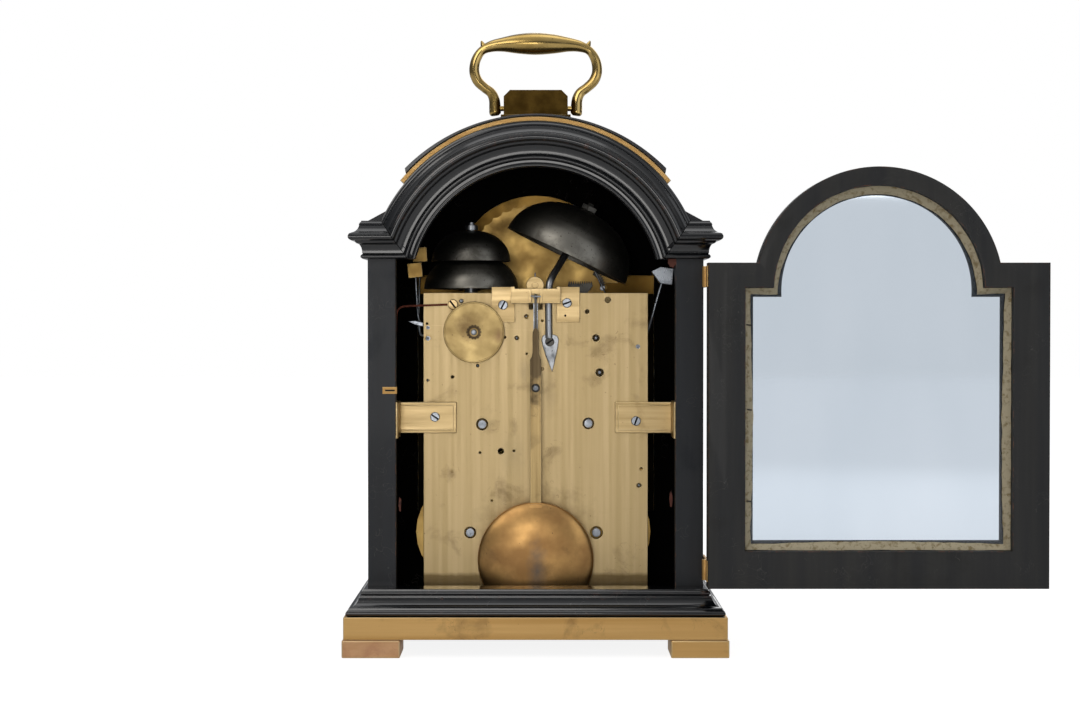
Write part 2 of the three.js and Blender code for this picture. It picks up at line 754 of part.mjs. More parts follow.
// Each arbor with its pinion and wheel.
add('centre_wheel', join(
  bar(centreArbor, centreArborRadius, minuteHandPlane - 2.5, backPlateInner + 1, 16),
  bar(centreArbor, pivotRadius, backPlateInner, backPivot, 12),
  gear(centreArbor, greatMesh.pinion, greatWheelFront - 0.6, greatWheelFront + wheelThickness + 0.6),
  gear(centreArbor, centreMesh.wheel, centreWheelFront, centreWheelFront + wheelThickness),
), plateBrass);
add('third_wheel', join(
  bar(thirdArbor, slimArbor, frontPivot, backPivot, 10),
  gear(thirdArbor, centreMesh.pinion, centreWheelFront - 0.6, centreWheelFront + wheelThickness + 0.6),
  gear(thirdArbor, thirdMesh.wheel, thirdWheelFront, thirdWheelFront + wheelThickness),
), plateBrass);
add('escape_wheel', join(
  bar(escapeArbor, slimArbor, frontPivot, backPivot, 10),
  gear(escapeArbor, thirdMesh.pinion, thirdWheelFront - 0.6, thirdWheelFront + wheelThickness + 0.6),
  gear(escapeArbor, {
    teeth: escapeTeeth, radius: escapeRadius - 1, above: 1, below: 0.8, base: 0.5,
  }, escapeWheelFront, escapeWheelFront + 1.6),
), plateBrass);

// A hollow-sided cone with its great wheel and the winding arbor.
function fusee(place, teethOutline) {
  const front = greatWheelFront + wheelThickness;
  const flank = [0, 0.25, 0.55, 1].map((share) => [
    THREE.MathUtils.lerp(fuseeLarge, fuseeSmall, Math.sqrt(share)), front + 1 + share * (fuseeLength - 1),
  ]);
  const profile = [
    [0, front - 1], [fuseeLarge + 1.5, front - 1], [fuseeLarge + 1.5, front + 1],
    ...flank, [0, front + fuseeLength],
  ];
  return join(
    turned(place, profile, 20),
    gear(place, teethOutline, greatWheelFront, greatWheelFront + wheelThickness),
    bar(place, arborRadius, dialFace + 0.6, backPlateFace + 1),
  );
}
add('going_fusee', fusee(goingFusee, greatMesh.wheel), plateBrass);
add('strike_fusee', fusee(strikeFusee, {
  teeth: strikeGreatTeeth, radius: strikeGreatRadius - 1, above: 1, below: 1, base: 0.6,
}), plateBrass);

// A spring barrel with a lip at each end.
function barrel(place) {
  const front = frontPlateBack + 8;
  const back = front + barrelLength;
  const lip = 1.8;
  const profile = [
    [0, front], [barrelRadius, front], [barrelRadius, front + lip], [barrelRadius - 1, front + lip],
    [barrelRadius - 1, back - lip], [barrelRadius, back - lip], [barrelRadius, back], [0, back],
  ];
  return join(turned(place, profile, 28), bar(place, arborRadius, frontPivot, backPlateFace + 1));
}
add('going_barrel', barrel(goingBarrel), plateBrass);
add('strike_barrel', barrel(strikeBarrel), plateBrass);

// ---- Plates --------------------------------------------------------------------------------

const pillars = [
  { x: 66, z: plateTop - 10.3 }, { x: -66, z: plateTop - 10.3 }, { x: 73, z: 106 }, { x: -73, z: 106 },
  { x: 72, z: plateBottom + 6 }, { x: -72, z: plateBottom + 6 },
];
const hammerPivots = [hourHammerPivot, ...quarterHammers.map((hammer) => hammer.pivot)];
const hammerArbor = 1.6;
const throughArbors = [goingBarrel, strikeBarrel, goingFusee, strikeFusee];
{
  const notch = block(-4.6, 4.6, backPlateInner - 1, backPlateFace + 1,
    suspensionHeight - notchBelow, plateTop + 1);
  const holes = (y0, y1) => [
    ...throughArbors.map((place) => bar(place, arborRadius + fit, y0, y1)),
    ...hammerPivots.map((place) => bar(place, hammerArbor + fit, y0, y1, 12)),
    bar(thirdArbor, slimArbor + fit, y0, y1, 10),
    bar(escapeArbor, slimArbor + fit, y0, y1, 10),
  ];
  const inside = backPlateInner - 1;
  const outside = backPlateFace + 1;
  const backBoard = cut(
    block(-plateHalfWidth, plateHalfWidth, backPlateInner, backPlateFace, plateBottom, plateTop),
    notch,
    ...holes(inside, outside),
    bar(centreArbor, centreArborRadius + fit, inside, outside),
    bar(pulleyCentre, arborRadius + fit, inside, outside),
    bar(rollerCentre, 1 + fit, inside, outside, 10),
  );
  const pillarBars = pillars.flatMap((place) => [
    bar(place, pillarRadius, frontPlateBack + fit, backPlateInner + 1, 10),
    bar(place, pillarRadius / 2, frontPlateFace - 1.5, frontPlateBack + fit, 8),
  ]);
  add('back_plate', join(backBoard, ...pillarBars), plateBrass);

  const front = frontPlateFace - 1;
  const back = frontPlateBack + 1;
  add('front_plate', cut(
    block(-plateHalfWidth, plateHalfWidth, frontPlateFace, frontPlateBack, plateBottom, plateTop),
    ...holes(front, back),
    ...pillars.map((place) => bar(place, pillarRadius / 2 + fit, front, back, 8)),
    bar(centreArbor, centreArborRadius + fit, front, back),
    bar(palletArbor, 1.3 + fit, front, back, 10),
  ), plateBrass);
}

// ---- Dial and hands ------------------------------------------------------------------------

{
  const upperFeet = plateTop - 18.3;
  const feet = [{ x: 70, z: 92 }, { x: -70, z: 92 }, { x: 62, z: upperFeet }, { x: -62, z: upperFeet }];
  const front = dialFace - 1;
  const back = dialBack + 1;
  add('dial_plate', cut(
    join(
      slab(archedShape(dialOutline), dialFace, dialBack),
      ...feet.map((place) => bar(place, 2.5, dialBack - 1, frontPlateFace - fit, 12)),
    ),
    bar(centreArbor, hourPipeRadius + fit, front, back),
    bar(goingFusee, arborRadius + 1.5, front, back),
    bar(strikeFusee, arborRadius + 1.5, front, back),
    bar({ x: 0, z: dialArchCentre }, pivotRadius + fit, front, back, 12),
  ), plateBrass);

  const ring = new THREE.Shape().absarc(0, 0, chapterOuter, 0, 2 * Math.PI, false);
  ring.holes.push(new THREE.Path().absarc(0, 0, chapterInner, 0, 2 * Math.PI, true));
  add('chapter_ring', slab(ring, dialFace - fit - chapterThickness, dialFace - fit, 18)
    .translate(0, 0, dialCentre), silvered);

  const disc = gear({ x: 0, z: 0 }, {
    teeth: archDiscTeeth, radius: archDiscRadius, above: 0.8, below: 0.8, base: 0.6,
  }, dialBack + 1.5, dialBack + 3);
  add('arch_disc', join(disc, bar({ x: 0, z: 0 }, pivotRadius, dialFace + 0.2, dialBack + 3, 12)), plateBrass)
    .position.set(0, 0, dialArchCentre);
}

// A hand drawn pointing up from its collet.
function hand(length, width, collet, bore, y0, y1) {
  const shape = new THREE.Shape();
  shape.moveTo(-width / 2, 0);
  shape.lineTo(width / 2, 0);
  shape.lineTo(width / 2, length * 0.45);
  shape.lineTo(width * 1.6, length * 0.56);
  shape.lineTo(width / 2, length * 0.68);
  shape.lineTo(0, length);
  shape.lineTo(-width / 2, length * 0.68);
  shape.lineTo(-width * 1.6, length * 0.56);
  shape.lineTo(-width / 2, length * 0.45);
  shape.closePath();
  const place = { x: 0, z: 0 };
  return cut(join(slab(shape, y0, y1), bar(place, collet, y0, y1)), bar(place, bore, y0 - 1, y1 + 1));
}
{
  const pipe = cut(
    bar({ x: 0, z: 0 }, hourPipeRadius, hourHandPlane, frontPlateFace - 1.5),
    bar({ x: 0, z: 0 }, centreArborRadius + fit, hourHandPlane - 1, frontPlateFace),
  );
  const hourHand = hand(46, 4.6, 6.5, centreArborRadius + fit, hourHandPlane, hourHandPlane + 1.4);
  add('hour_hand', join(hourHand, pipe), blued).position.set(0, 0, dialCentre);
  const minuteHand = hand(70, 3.6, 4.5, centreArborRadius + fit, minuteHandPlane, minuteHandPlane + 1.4);
  add('minute_hand', minuteHand, blued)
    .position.set(0, 0, dialCentre);
}

// ---- What stands on the back plate ---------------------------------------------------------

const seat = backPlateFace + fit; // the plane in which pieces screwed to the back plate start

// The back cock bridges the suspension; its slot takes the pendulum's strip.
{
  const footSeat = seat + bracketThickness;
  const bridgeFace = pendulumPlane + 2;
  const pieces = [1, -1].flatMap((side) => {
    const inner = side * cockInner;
    const outer = side * (cockInner + cockFootWidth);
    const riser = side * (cockInner + 2.5);
    return [
      block(Math.min(inner, outer), Math.max(inner, outer), seat, footSeat, cockBottom, cockTop),
      block(Math.min(inner, riser), Math.max(inner, riser), seat, bridgeFace, bridgeBottom, cockTop),
    ];
  });
  const bridgeHalf = cockInner + 1;
  const bridge = block(-bridgeHalf, bridgeHalf, pendulumPlane - 2.5, bridgeFace, bridgeBottom, bridgeTop);
  const slot = block(-2.6, 2.6, pendulumPlane - 1.2, bridgeFace + 1, bridgeBottom - 1, suspensionHeight + 2);
  const pivotHole = bar(palletArbor, 1.3 + fit, pendulumPlane - 5, pendulumPlane - 1, 10);
  add('back_cock', cut(join(...pieces, bridge), slot, pivotHole), plateBrass);
}

// Brackets that hold the movement to the stiles.
for (const [name, side] of [['movement_bracket_left', 1], ['movement_bracket_right', -1]]) {
  const flangeOut = openingHalfWidth + flangeLet;
  const flangeIn = flangeOut - flangeThickness;
  const span = (a, b) => [Math.min(side * a, side * b), Math.max(side * a, side * b)];
  add(name, join(
    block(...span(bracketInner, flangeOut), seat, seat + bracketThickness, bracketBottom, bracketTop),
    block(...span(flangeIn, flangeOut), seat, caseHalfDepth - 1, bracketBottom - 2.5, bracketTop + 1),
  ), plateBrass);
}

// Pendulum: strip, rod and lenticular bob, hanging from the suspension point.
{
  const rodBottom = bobCentre + bobRadius - 14;
  const half = rodThickness / 2;
  const strip = block(-1.2, 1.2, -0.5, 0.5, rodShoulder - 1, suspensionHeight + 1.6);
  const rod = block(-rodWidth / 2, rodWidth / 2, -half, half, rodBottom, rodShoulder);
  const eye = block(-crutchPinRadius - fit, crutchPinRadius + fit, -5, 5, crutchPin - 2.6, crutchPin + 2.6);
  const pendulum = new THREE.Group();
  pendulum.position.set(0, pendulumPlane, suspensionHeight);
  clock.add(pendulum);
  add('pendulum_rod', cut(join(strip, rod), eye).translate(0, 0, -suspensionHeight), plateBrass, pendulum);

  const face = [[1, 0], [0.9, 0.4], [0.7, 0.74], [0.4, 0.93], [0, 1]];
  const profile = [
    ...face.map(([r, t]) => [r * bobRadius, (0.06 + 0.94 * t) * (bobThickness / 2)]).reverse(),
    ...face.map(([r, t]) => [r * bobRadius, (-0.06 - 0.94 * t) * (bobThickness / 2)]),
  ];
  const pocket = block(-rodWidth / 2 - fit, rodWidth / 2 + fit, -half - fit, half + fit,
    rodBottom - fit, bobCentre + bobRadius + 1);
  add('pendulum_bob', cut(turned({ x: 0, z: bobCentre }, profile, 28), pocket)
    .translate(0, 0, -suspensionHeight), bobBrass, pendulum);
}

// Crutch: pallet arbor, anchor over the escape wheel, arm and the pin that leads the rod.
{
  const armFront = backPlateFace + 5;
  const anchor = new THREE.Shape();
  anchor.moveTo(-13.6, -11.4);
  anchor.lineTo(-12.6, -12.4);
  anchor.lineTo(-11.2, -8.6);
  anchor.lineTo(-7.6, -4.6);
  anchor.lineTo(0, -3);
  anchor.lineTo(7.6, -4.6);
  anchor.lineTo(11.2, -8.6);
  anchor.lineTo(12.6, -12.4);
  anchor.lineTo(13.6, -11.4);
  anchor.lineTo(12.6, -7);
  anchor.lineTo(8, -1.6);
  anchor.lineTo(0, 2.4);
  anchor.lineTo(-8, -1.6);
  anchor.lineTo(-12.6, -7);
  anchor.closePath();
  const origin = { x: 0, z: 0 };
  const pin = { x: 0, z: crutchPin - suspensionHeight };
  add('crutch', join(
    bar(origin, 1.3, frontPivot, pendulumPlane - 1.6, 10),
    slab(anchor, escapeWheelFront - 0.4, escapeWheelFront + 2),
    block(-1.5, 1.5, armFront, armFront + 1.6, pin.z - 2.5, 2.5),
    bar(pin, crutchPinRadius, armFront, pendulumPlane + 3, 12),
  ), steel).position.set(0, 0, suspensionHeight);
}

// Pull repeat: the pulley turns over the cock's foot, and the cord runs over a roller beside it to the side.
{
  const origin = { x: 0, z: 0 };
  const pulleySeat = seat + bracketThickness + fit;
  const pulleyFace = pulleySeat + pulleyThickness;
  add('repeat_pulley', join(
    bar(origin, pulleyRadius, pulleySeat, pulleyFace, 32),
    bar(origin, 4.4, seat + fit, pulleyFace + 1.2, 16),
    bar(origin, arborRadius, backPlateInner - 2, pulleyFace + 2),
  ), plateBrass).position.set(pulleyCentre.x, 0, pulleyCentre.z);

  const rollerFace = pulleySeat - fit;
  add('repeat_roller', join(
    bar(origin, rollerRadius, seat + fit, rollerFace, 16),
    bar(origin, 1, backPlateInner - 0.5, seat + 1, 10),
  ), plateBrass).position.set(rollerCentre.x, 0, rollerCentre.z);

  const y = (seat + fit + rollerFace) / 2;
  const z = rollerCentre.z;
  const wall = wallInside - fit;
  const route = [
    point(rollerCentre.x + rollerRadius + fit, y, z),
    point(rollerCentre.x + 12, y, z - 0.3),
    point(wallInside - 20.2, y, z - 0.9),
    point(wallInside - 11.6, y, z - 1.6),
    point(wallInside - 8, y, z - 5),
    point(wallInside - 7.3, y, z - 12.2),
    point(wallInside - 7.1, y, z - 19.8),
    point(wallInside - 6, y, z - 23.4),
    point(wallInside - 3.2, y, z - 24.7),
    point(wall, y, z - 25),
  ];
  add('repeat_cord', taperedRod(route, [cordRadius, cordRadius], 20, 8), cordRed);
}

// ---- Bells and hammers ---------------------------------------------------------------------

// A bell standing on its rim at the origin, its axis along Z, with a hole at its crown.
function bell(radius, height, segments) {
  const steps = 6;
  const outline = (r, h) => Array.from({ length: steps }, (_, i) => {
    const angle = (i / steps) * (Math.PI / 2);
    return [r * Math.cos(angle) ** 0.85, h * Math.sin(angle)];
  });
  const hole = bellStemRadius + fit;
  const profile = [
    ...outline(radius, height), [hole, height],
    [hole, height - bellWall], ...outline(radius - bellWall, height - bellWall).reverse(),
  ];
  const points = [...profile, profile[0]].map(([r, z]) => new THREE.Vector2(r, z));
  return outward(new THREE.LatheGeometry(points, segments)).rotateX(Math.PI / 2);
}

const hourBell = add('hour_bell', bell(hourBellRadius, hourBellHeight, 24), bellMetal);
hourBell.position.set(hourBellRim.x, hourBellPlane, hourBellRim.z);
hourBell.rotation.y = -THREE.MathUtils.degToRad(hourBellTilt);
add('quarter_bell_large', bell(largeQuarter.radius, largeQuarter.height, 20), bellMetal)
  .position.set(quarterAxis, quarterBellPlane, largeRim);
add('quarter_bell_small', bell(smallQuarter.radius, smallQuarter.height, 20), bellMetal)
  .position.set(quarterAxis, quarterBellPlane, smallRim);

// The hour bell's stand: a spade foot on the back plate and a rod that bends up into the bell.
{
  const footHigh = plateTop - 31.3;
  const foot = new THREE.Shape();
  foot.moveTo(-11.4, footHigh - 23.5);
  foot.lineTo(-7.4, footHigh - 13);
  foot.lineTo(-3.8, footHigh - 1);
  foot.quadraticCurveTo(-4, footHigh + 3.4, -9.2, footHigh + 4);
  foot.quadraticCurveTo(-15.6, footHigh + 3.4, -16, footHigh - 1);
  foot.lineTo(-14.6, footHigh - 13);
  foot.closePath();
  const tilt = THREE.MathUtils.degToRad(hourBellTilt);
  const onAxis = (along) => point(hourBellRim.x - Math.sin(tilt) * along, hourBellPlane,
    hourBellRim.z + Math.cos(tilt) * along);
  const rodY = seat + bellStemRadius;
  const route = [
    point(-9.2, rodY, footHigh), point(-9, rodY, footHigh + 14), point(-9, rodY, plateTop - 0.3),
    point(-10.4, rodY - 2, plateTop + 8.7), point(-16.5, rodY - 12, plateTop + 19.7),
    onAxis(4).add(point(1.4, 8, -1)), onAxis(10), onAxis(22), onAxis(hourBellHeight + 6),
  ];
  const radii = [bellStemRadius, bellStemRadius];
  add('hour_bell_stand', join(slab(foot, seat, seat + 2.6, 6), taperedRod(route, radii, 24, 8)), steel);
}

// The quarter bells' stand: a foot on the front plate, an arm and a post through both bells.
{
  const armHeight = largeRim - 8;
  const start = frontPlateBack + fit;
  const post = (r, z0, z1) => new THREE.CylinderGeometry(r, r, z1 - z0, 14)
    .rotateX(Math.PI / 2).translate(quarterAxis, quarterBellPlane, (z0 + z1) / 2);
  const lowerCrown = largeRim + largeQuarter.height;
  const upperCrown = smallRim + smallQuarter.height;
  const reachX = [quarterAxis - 3, quarterAxis + 3];
  add('quarter_bell_stand', join(
    block(quarterAxis - 8, quarterAxis + 8, start, start + 2.5, armHeight - 9, armHeight + 4),
    block(...reachX, start + 1, quarterBellPlane + 3, armHeight - 3, armHeight + 3),
    post(bellStemRadius, armHeight, upperCrown + 6),
    post(4.5, armHeight, lowerCrown - bellWall - fit),
    post(4.5, lowerCrown + fit, upperCrown - bellWall - fit),
  ), steel);
}

// Hammers, each drawn about its own arbor: arbor, wire and head.
function hammer(pivot, route, wire, head) {
  const arbor = bar(pivot, hammerArbor, frontPivot, backPivot, 12);
  const wirePoints = route.map(([x, y, z]) => point(x, y, z));
  const solid = join(arbor, taperedRod(wirePoints, [wire, wire], 8, 6), head);
  return solid.translate(-pivot.x, 0, -pivot.z);
}
{
  const wedge = new THREE.Shape();
  const rim = hourBellRim.z;
  wedge.moveTo(22.8 - wallInside, rim - 10.9);
  wedge.lineTo(16.2 - wallInside, rim - 7.5);
  wedge.lineTo(7.2 - wallInside, rim - 8.9);
  wedge.lineTo(8.2 - wallInside, rim - 20.5);
  wedge.lineTo(16.8 - wallInside, rim - 19.1);
  wedge.closePath();
  const y = hourBellPlane;
  const base = hourHammerPivot;
  const route = [
    [base.x, y, base.z], [base.x - 4.5, y, base.z + 4], [base.x - 8.5, y, base.z + 12.4],
    [base.x - 13.3, y, base.z + 29], [14.6 - wallInside, y, rim - 16.5],
  ];
  add('hour_hammer', hammer(hourHammerPivot, route, 1.1, slab(wedge, y - 5, y + 5)), steel)
    .position.set(hourHammerPivot.x, 0, hourHammerPivot.z);
}
quarterHammers.forEach(({ pivot, head, y, turn }, i) => {
  const cube = new THREE.BoxGeometry(hammerCube, hammerCube, hammerCube)
    .rotateY(THREE.MathUtils.degToRad(turn)).translate(head.x, y, head.z);
  const route = [
    [pivot.x, y, pivot.z], [pivot.x + 4, y, pivot.z + 1.6], [pivot.x + 8.4, y, pivot.z + 8],
    [(pivot.x + 9 + head.x) / 2, y, (pivot.z + 8 + head.z) / 2], [head.x, y, head.z],
  ];
  add(`quarter_hammer_${i + 1}`, hammer(pivot, route, 0.8, cube), plateBrass)
    .position.set(pivot.x, 0, pivot.z);
});

export default clock;
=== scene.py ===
import json
import math

import bmesh
import bpy
from mathutils import Matrix, Vector, noise

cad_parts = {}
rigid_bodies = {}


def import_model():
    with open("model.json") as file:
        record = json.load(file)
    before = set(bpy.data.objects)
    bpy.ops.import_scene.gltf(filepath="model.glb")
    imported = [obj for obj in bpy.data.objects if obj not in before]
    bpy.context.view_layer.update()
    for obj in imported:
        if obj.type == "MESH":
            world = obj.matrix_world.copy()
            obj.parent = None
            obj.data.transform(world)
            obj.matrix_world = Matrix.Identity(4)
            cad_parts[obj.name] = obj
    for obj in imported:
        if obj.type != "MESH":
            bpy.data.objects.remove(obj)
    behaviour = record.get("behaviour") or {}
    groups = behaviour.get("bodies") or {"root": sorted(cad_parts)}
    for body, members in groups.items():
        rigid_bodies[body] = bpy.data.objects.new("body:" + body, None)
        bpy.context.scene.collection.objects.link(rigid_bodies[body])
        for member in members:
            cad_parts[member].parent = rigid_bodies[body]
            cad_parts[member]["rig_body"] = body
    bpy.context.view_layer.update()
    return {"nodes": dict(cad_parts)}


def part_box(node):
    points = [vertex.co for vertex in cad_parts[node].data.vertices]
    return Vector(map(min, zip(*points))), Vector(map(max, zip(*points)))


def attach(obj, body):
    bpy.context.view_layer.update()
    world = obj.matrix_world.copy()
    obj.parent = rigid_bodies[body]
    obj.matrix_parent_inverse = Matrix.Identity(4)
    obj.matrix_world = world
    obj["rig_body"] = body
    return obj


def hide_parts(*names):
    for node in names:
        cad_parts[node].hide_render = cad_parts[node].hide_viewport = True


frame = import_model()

scene = bpy.context.scene
mm = 0.001
upright = Matrix.Rotation(math.radians(90), 4, 'X')  # a drawing in X and Y stands up: its Y becomes Z

# ---- building nodes for materials, the world and screws ----


def put(tree, kind, inputs=None, **settings):
    node = tree.nodes.new(kind)
    for key, value in settings.items():
        setattr(node, key, value)
    for key, value in (inputs or {}).items():
        if isinstance(value, bpy.types.NodeSocket):
            tree.links.new(value, node.inputs[key])
        else:
            node.inputs[key].default_value = value
    return node


def tint(text):  # a colour written as rrggbb, in the shader's own linear scale
    parts = [int(text[i:i + 2], 16) / 255 for i in (0, 2, 4)]
    return tuple(p / 12.92 if p <= 0.04045 else ((p + 0.055) / 1.055) ** 2.4 for p in parts) + (1,)


def math2(tree, operation, a, b=0.0, clamp=False):
    return put(tree, 'ShaderNodeMath', {0: a, 1: b}, operation=operation, use_clamp=clamp).outputs[0]


def vectorMath(tree, operation, *values):
    return put(tree, 'ShaderNodeVectorMath', dict(enumerate(values)), operation=operation).outputs


def mixColour(tree, share, a, b):
    # the node's own sockets: 0 is the share, 6 and 7 are the two colours, and output 2 is the mixed colour
    node = put(tree, 'ShaderNodeMix', {0: share, 6: a, 7: b}, data_type='RGBA', clamp_factor=True)
    return node.outputs[2]


def veil(tree, mask, share, under, over):  # a share of a colour, written as rrggbb, where the mask is
    return mixColour(tree, math2(tree, 'MULTIPLY', mask, share), under, tint(over))


def ramp(tree, value, low, high, bottom=0.0, top=1.0):
    return put(tree, 'ShaderNodeMapRange', {'Value': value, 'From Min': low, 'From Max': high,
                                            'To Min': bottom, 'To Max': top}).outputs[0]


def placeOf(tree):
    return put(tree, 'ShaderNodeTexCoord').outputs['Object']


def axisOf(tree, vector, axis):
    return put(tree, 'ShaderNodeSeparateXYZ', {0: vector}).outputs[axis]


def stretched(tree, scale):  # object coordinates, drawn out along an axis
    return vectorMath(tree, 'MULTIPLY', placeOf(tree), scale)[0]


def noiseOf(tree, vector, scale, detail=3.0, rough=0.5, bent=0.0):
    return put(tree, 'ShaderNodeTexNoise', {'Vector': vector, 'Scale': scale, 'Detail': detail,
                                            'Roughness': rough, 'Distortion': bent}).outputs['Fac']


# ---- camera, light and floor ----

view = {
    'place': (-3, 1556, 213.5), 'down': 1.04, 'lens': 73.5, 'sensor': 36, 'clip': (0.05, 60),
    'ambient': (0.1, 0.105, 0.115), 'background': (1.0, 1.0, 1.0), 'gloss': (0.02, 0.6),
    'horizon': (0.3, 0.9),
}
floorSizes = {
    'height': -12.15, 'half': 7000, 'paper': (0.5, 0.5, 0.5), 'fleck': (0.47, 0.47, 0.47), 'fleckScale': 6.0,
    'glow': (0.88, 1.0), 'fade': (0.3, 0.9), 'gloss': 0.4,
}
lamps = {  # place in mm, where it points, size in mm, watts, colour
    'keyLight': ((750, 1250, 1150), (0, 0, 190), (800, 800), 5.2, (1.0, 0.97, 0.93)),
    'fillLight': ((-1050, 1150, 500), (0, 0, 170), (900, 1200), 2.6, (0.93, 0.96, 1.0)),
    'topLight': ((0, 100, 1500), (0, 0, 200), (1200, 900), 3.2, (1, 1, 1)),
    'frontLight': ((-500, -1500, 900), (0, 0, 200), (1100, 1100), 5.5, (1, 1, 1)),
    'innerLight': ((120, 1500, 260), (0, 0, 150), (420, 420), 2.0, (1.0, 0.98, 0.95)),
}


def placeCamera():
    camera = bpy.data.objects.new('camera', bpy.data.cameras.new('camera'))
    scene.collection.objects.link(camera)
    camera.data.lens = view['lens']
    camera.data.sensor_width = view['sensor']
    camera.data.clip_start, camera.data.clip_end = view['clip']
    camera.location = Vector(view['place']) * mm
    camera.rotation_euler = (math.radians(90 - view['down']), 0, math.radians(180))
    scene.camera = camera


def seenDirectly(tree, glossyShare):  # 1 for camera and transmission rays, and a share of the glossy ones
    path = put(tree, 'ShaderNodeLightPath').outputs
    direct = math2(tree, 'ADD', path['Is Camera Ray'], path['Is Transmission Ray'])
    glossy = math2(tree, 'MULTIPLY', path['Is Glossy Ray'], glossyShare)
    return math2(tree, 'ADD', direct, glossy, True)


def emptied(owner):  # the owner's node tree, with the nodes that it starts with taken out
    owner.use_nodes = True
    owner.node_tree.nodes.clear()
    return owner.node_tree


def lightScene():
    for name, (place, aim, size, watts, colour) in lamps.items():
        lamp = bpy.data.objects.new(name, bpy.data.lights.new(name, 'AREA'))
        lamp.data.shape = 'RECTANGLE'
        lamp.data.size, lamp.data.size_y = size[0] * mm, size[1] * mm
        lamp.data.energy = watts
        lamp.data.color = colour
        lamp.location = Vector(place) * mm
        lamp.rotation_euler = (Vector(aim) - Vector(place)).to_track_quat('-Z', 'Y').to_euler()
        scene.collection.objects.link(lamp)
    scene.world = bpy.data.worlds.new('world')
    tree = emptied(scene.world)
    height = axisOf(tree, put(tree, 'ShaderNodeTexCoord').outputs['Generated'], 'Z')
    upward = ramp(tree, height, *view['horizon'], *view['gloss'])
    dim, bright = [put(tree, 'ShaderNodeBackground', {'Color': (*view[key], 1), 'Strength': 1.0}).outputs[0]
                   for key in ('ambient', 'background')]
    mix = put(tree, 'ShaderNodeMixShader', {0: seenDirectly(tree, upward), 1: dim, 2: bright})
    put(tree, 'ShaderNodeOutputWorld', {'Surface': mix.outputs[0]})
    scene.view_settings.view_transform = 'Standard'


def layFloor():
    s = floorSizes
    mesh = bpy.data.meshes.new('floor')
    corners = [(x * s['half'], y * s['half'], s['height']) for x, y in ((-1, -1), (1, -1), (1, 1), (-1, 1))]
    mesh.from_pydata([Vector(p) * mm for p in corners], [], [(0, 1, 2, 3)])
    floor = bpy.data.objects.new('floor', mesh)
    scene.collection.objects.link(floor)
    paper = bpy.data.materials.new('paper')
    tree = emptied(paper)
    flecks = put(tree, 'ShaderNodeTexNoise', {'Scale': s['fleckScale']}).outputs['Fac']
    tone = mixColour(tree, flecks, (*s['paper'], 1), (*s['fleck'], 1))
    cloth = put(tree, 'ShaderNodeBsdfDiffuse', {'Color': tone}).outputs[0]
    away = vectorMath(tree, 'LENGTH', placeOf(tree))['Value']
    strength = ramp(tree, away, *s['fade'], *s['glow'])
    glow = put(tree, 'ShaderNodeEmission', {'Color': (1, 1, 1, 1), 'Strength': strength}).outputs[0]
    lit = put(tree, 'ShaderNodeAddShader', {0: cloth, 1: glow}).outputs[0]
    mix = put(tree, 'ShaderNodeMixShader', {0: seenDirectly(tree, s['gloss']), 1: cloth, 2: lit})
    put(tree, 'ShaderNodeOutputMaterial', {'Surface': mix.outputs[0]})
    mesh.materials.append(paper)


placeCamera()
lightScene()
layFloor()
print('stage: camera, lamps and floor')

# ---- finishes: effects shared by several materials ----

number, direction = 'NodeSocketFloat', 'NodeSocketVector'


def newEffect(name, inputs, outputs):
    tree = bpy.data.node_groups.new(name, 'ShaderNodeTree')
    for label, kind, value in inputs:
        socket = tree.interface.new_socket(label, in_out='INPUT', socket_type=kind)
        socket.default_value = value
    for label in outputs:
        tree.interface.new_socket(label, in_out='OUTPUT', socket_type=number)
    return tree, put(tree, 'NodeGroupInput').outputs


def grainEffect():  # brushing or wood grain drawn out along one axis
    tree, given = newEffect('grain', [('Stretch', direction, (1, 1, 1)), ('Fineness', number, 900.0)],
                            ['Lines', 'Bands'])
    place = stretched(tree, given['Stretch'])
    fine = noiseOf(tree, place, given['Fineness'], 4.0)
    broad = noiseOf(tree, place, math2(tree, 'MULTIPLY', given['Fineness'], 0.16))
    lines, bands = ramp(tree, fine, 0.3, 0.7), ramp(tree, broad, 0.35, 0.65)
    put(tree, 'NodeGroupOutput', {'Lines': lines, 'Bands': bands})
    return tree


def stainEffect():  # clouded patches and small specks
    tree, given = newEffect('stain', [('Scale', number, 30.0), ('Patches', number, 0.55),
                                      ('Specks', number, 0.7)], ['Cloud', 'Specks'])
    place = placeOf(tree)
    cloud = noiseOf(tree, place, given['Scale'], 5.0, 0.6, 0.4)
    speck = noiseOf(tree, place, math2(tree, 'MULTIPLY', given['Scale'], 12.0), 2.0)
    soft = ramp(tree, cloud, given['Patches'], math2(tree, 'ADD', given['Patches'], 0.16))
    dots = ramp(tree, speck, given['Specks'], math2(tree, 'ADD', given['Specks'], 0.05))
    put(tree, 'NodeGroupOutput', {'Cloud': soft, 'Specks': dots})
    return tree


def scratchEffect():  # thin wandering lines, kept to patches
    tree, given = newEffect('scratches', [('Scale', number, 60.0), ('Width', number, 0.03),
                                          ('Where', number, 0.5)], ['Lines'])
    place = placeOf(tree)
    bend = put(tree, 'ShaderNodeTexNoise', {'Vector': place, 'Scale': given['Scale'], 'Detail': 2.0})
    shifted = vectorMath(tree, 'MULTIPLY_ADD', place, bend.outputs['Color'], (0.012, 0.012, 0.012))[0]
    cells = put(tree, 'ShaderNodeTexVoronoi', {'Vector': shifted, 'Scale': given['Scale']},
                feature='DISTANCE_TO_EDGE')
    line = math2(tree, 'LESS_THAN', cells.outputs['Distance'], given['Width'])
    kept = math2(tree, 'GREATER_THAN', noiseOf(tree, place, 34.0), given['Where'])
    put(tree, 'NodeGroupOutput', {'Lines': math2(tree, 'MULTIPLY', line, kept)})
    return tree


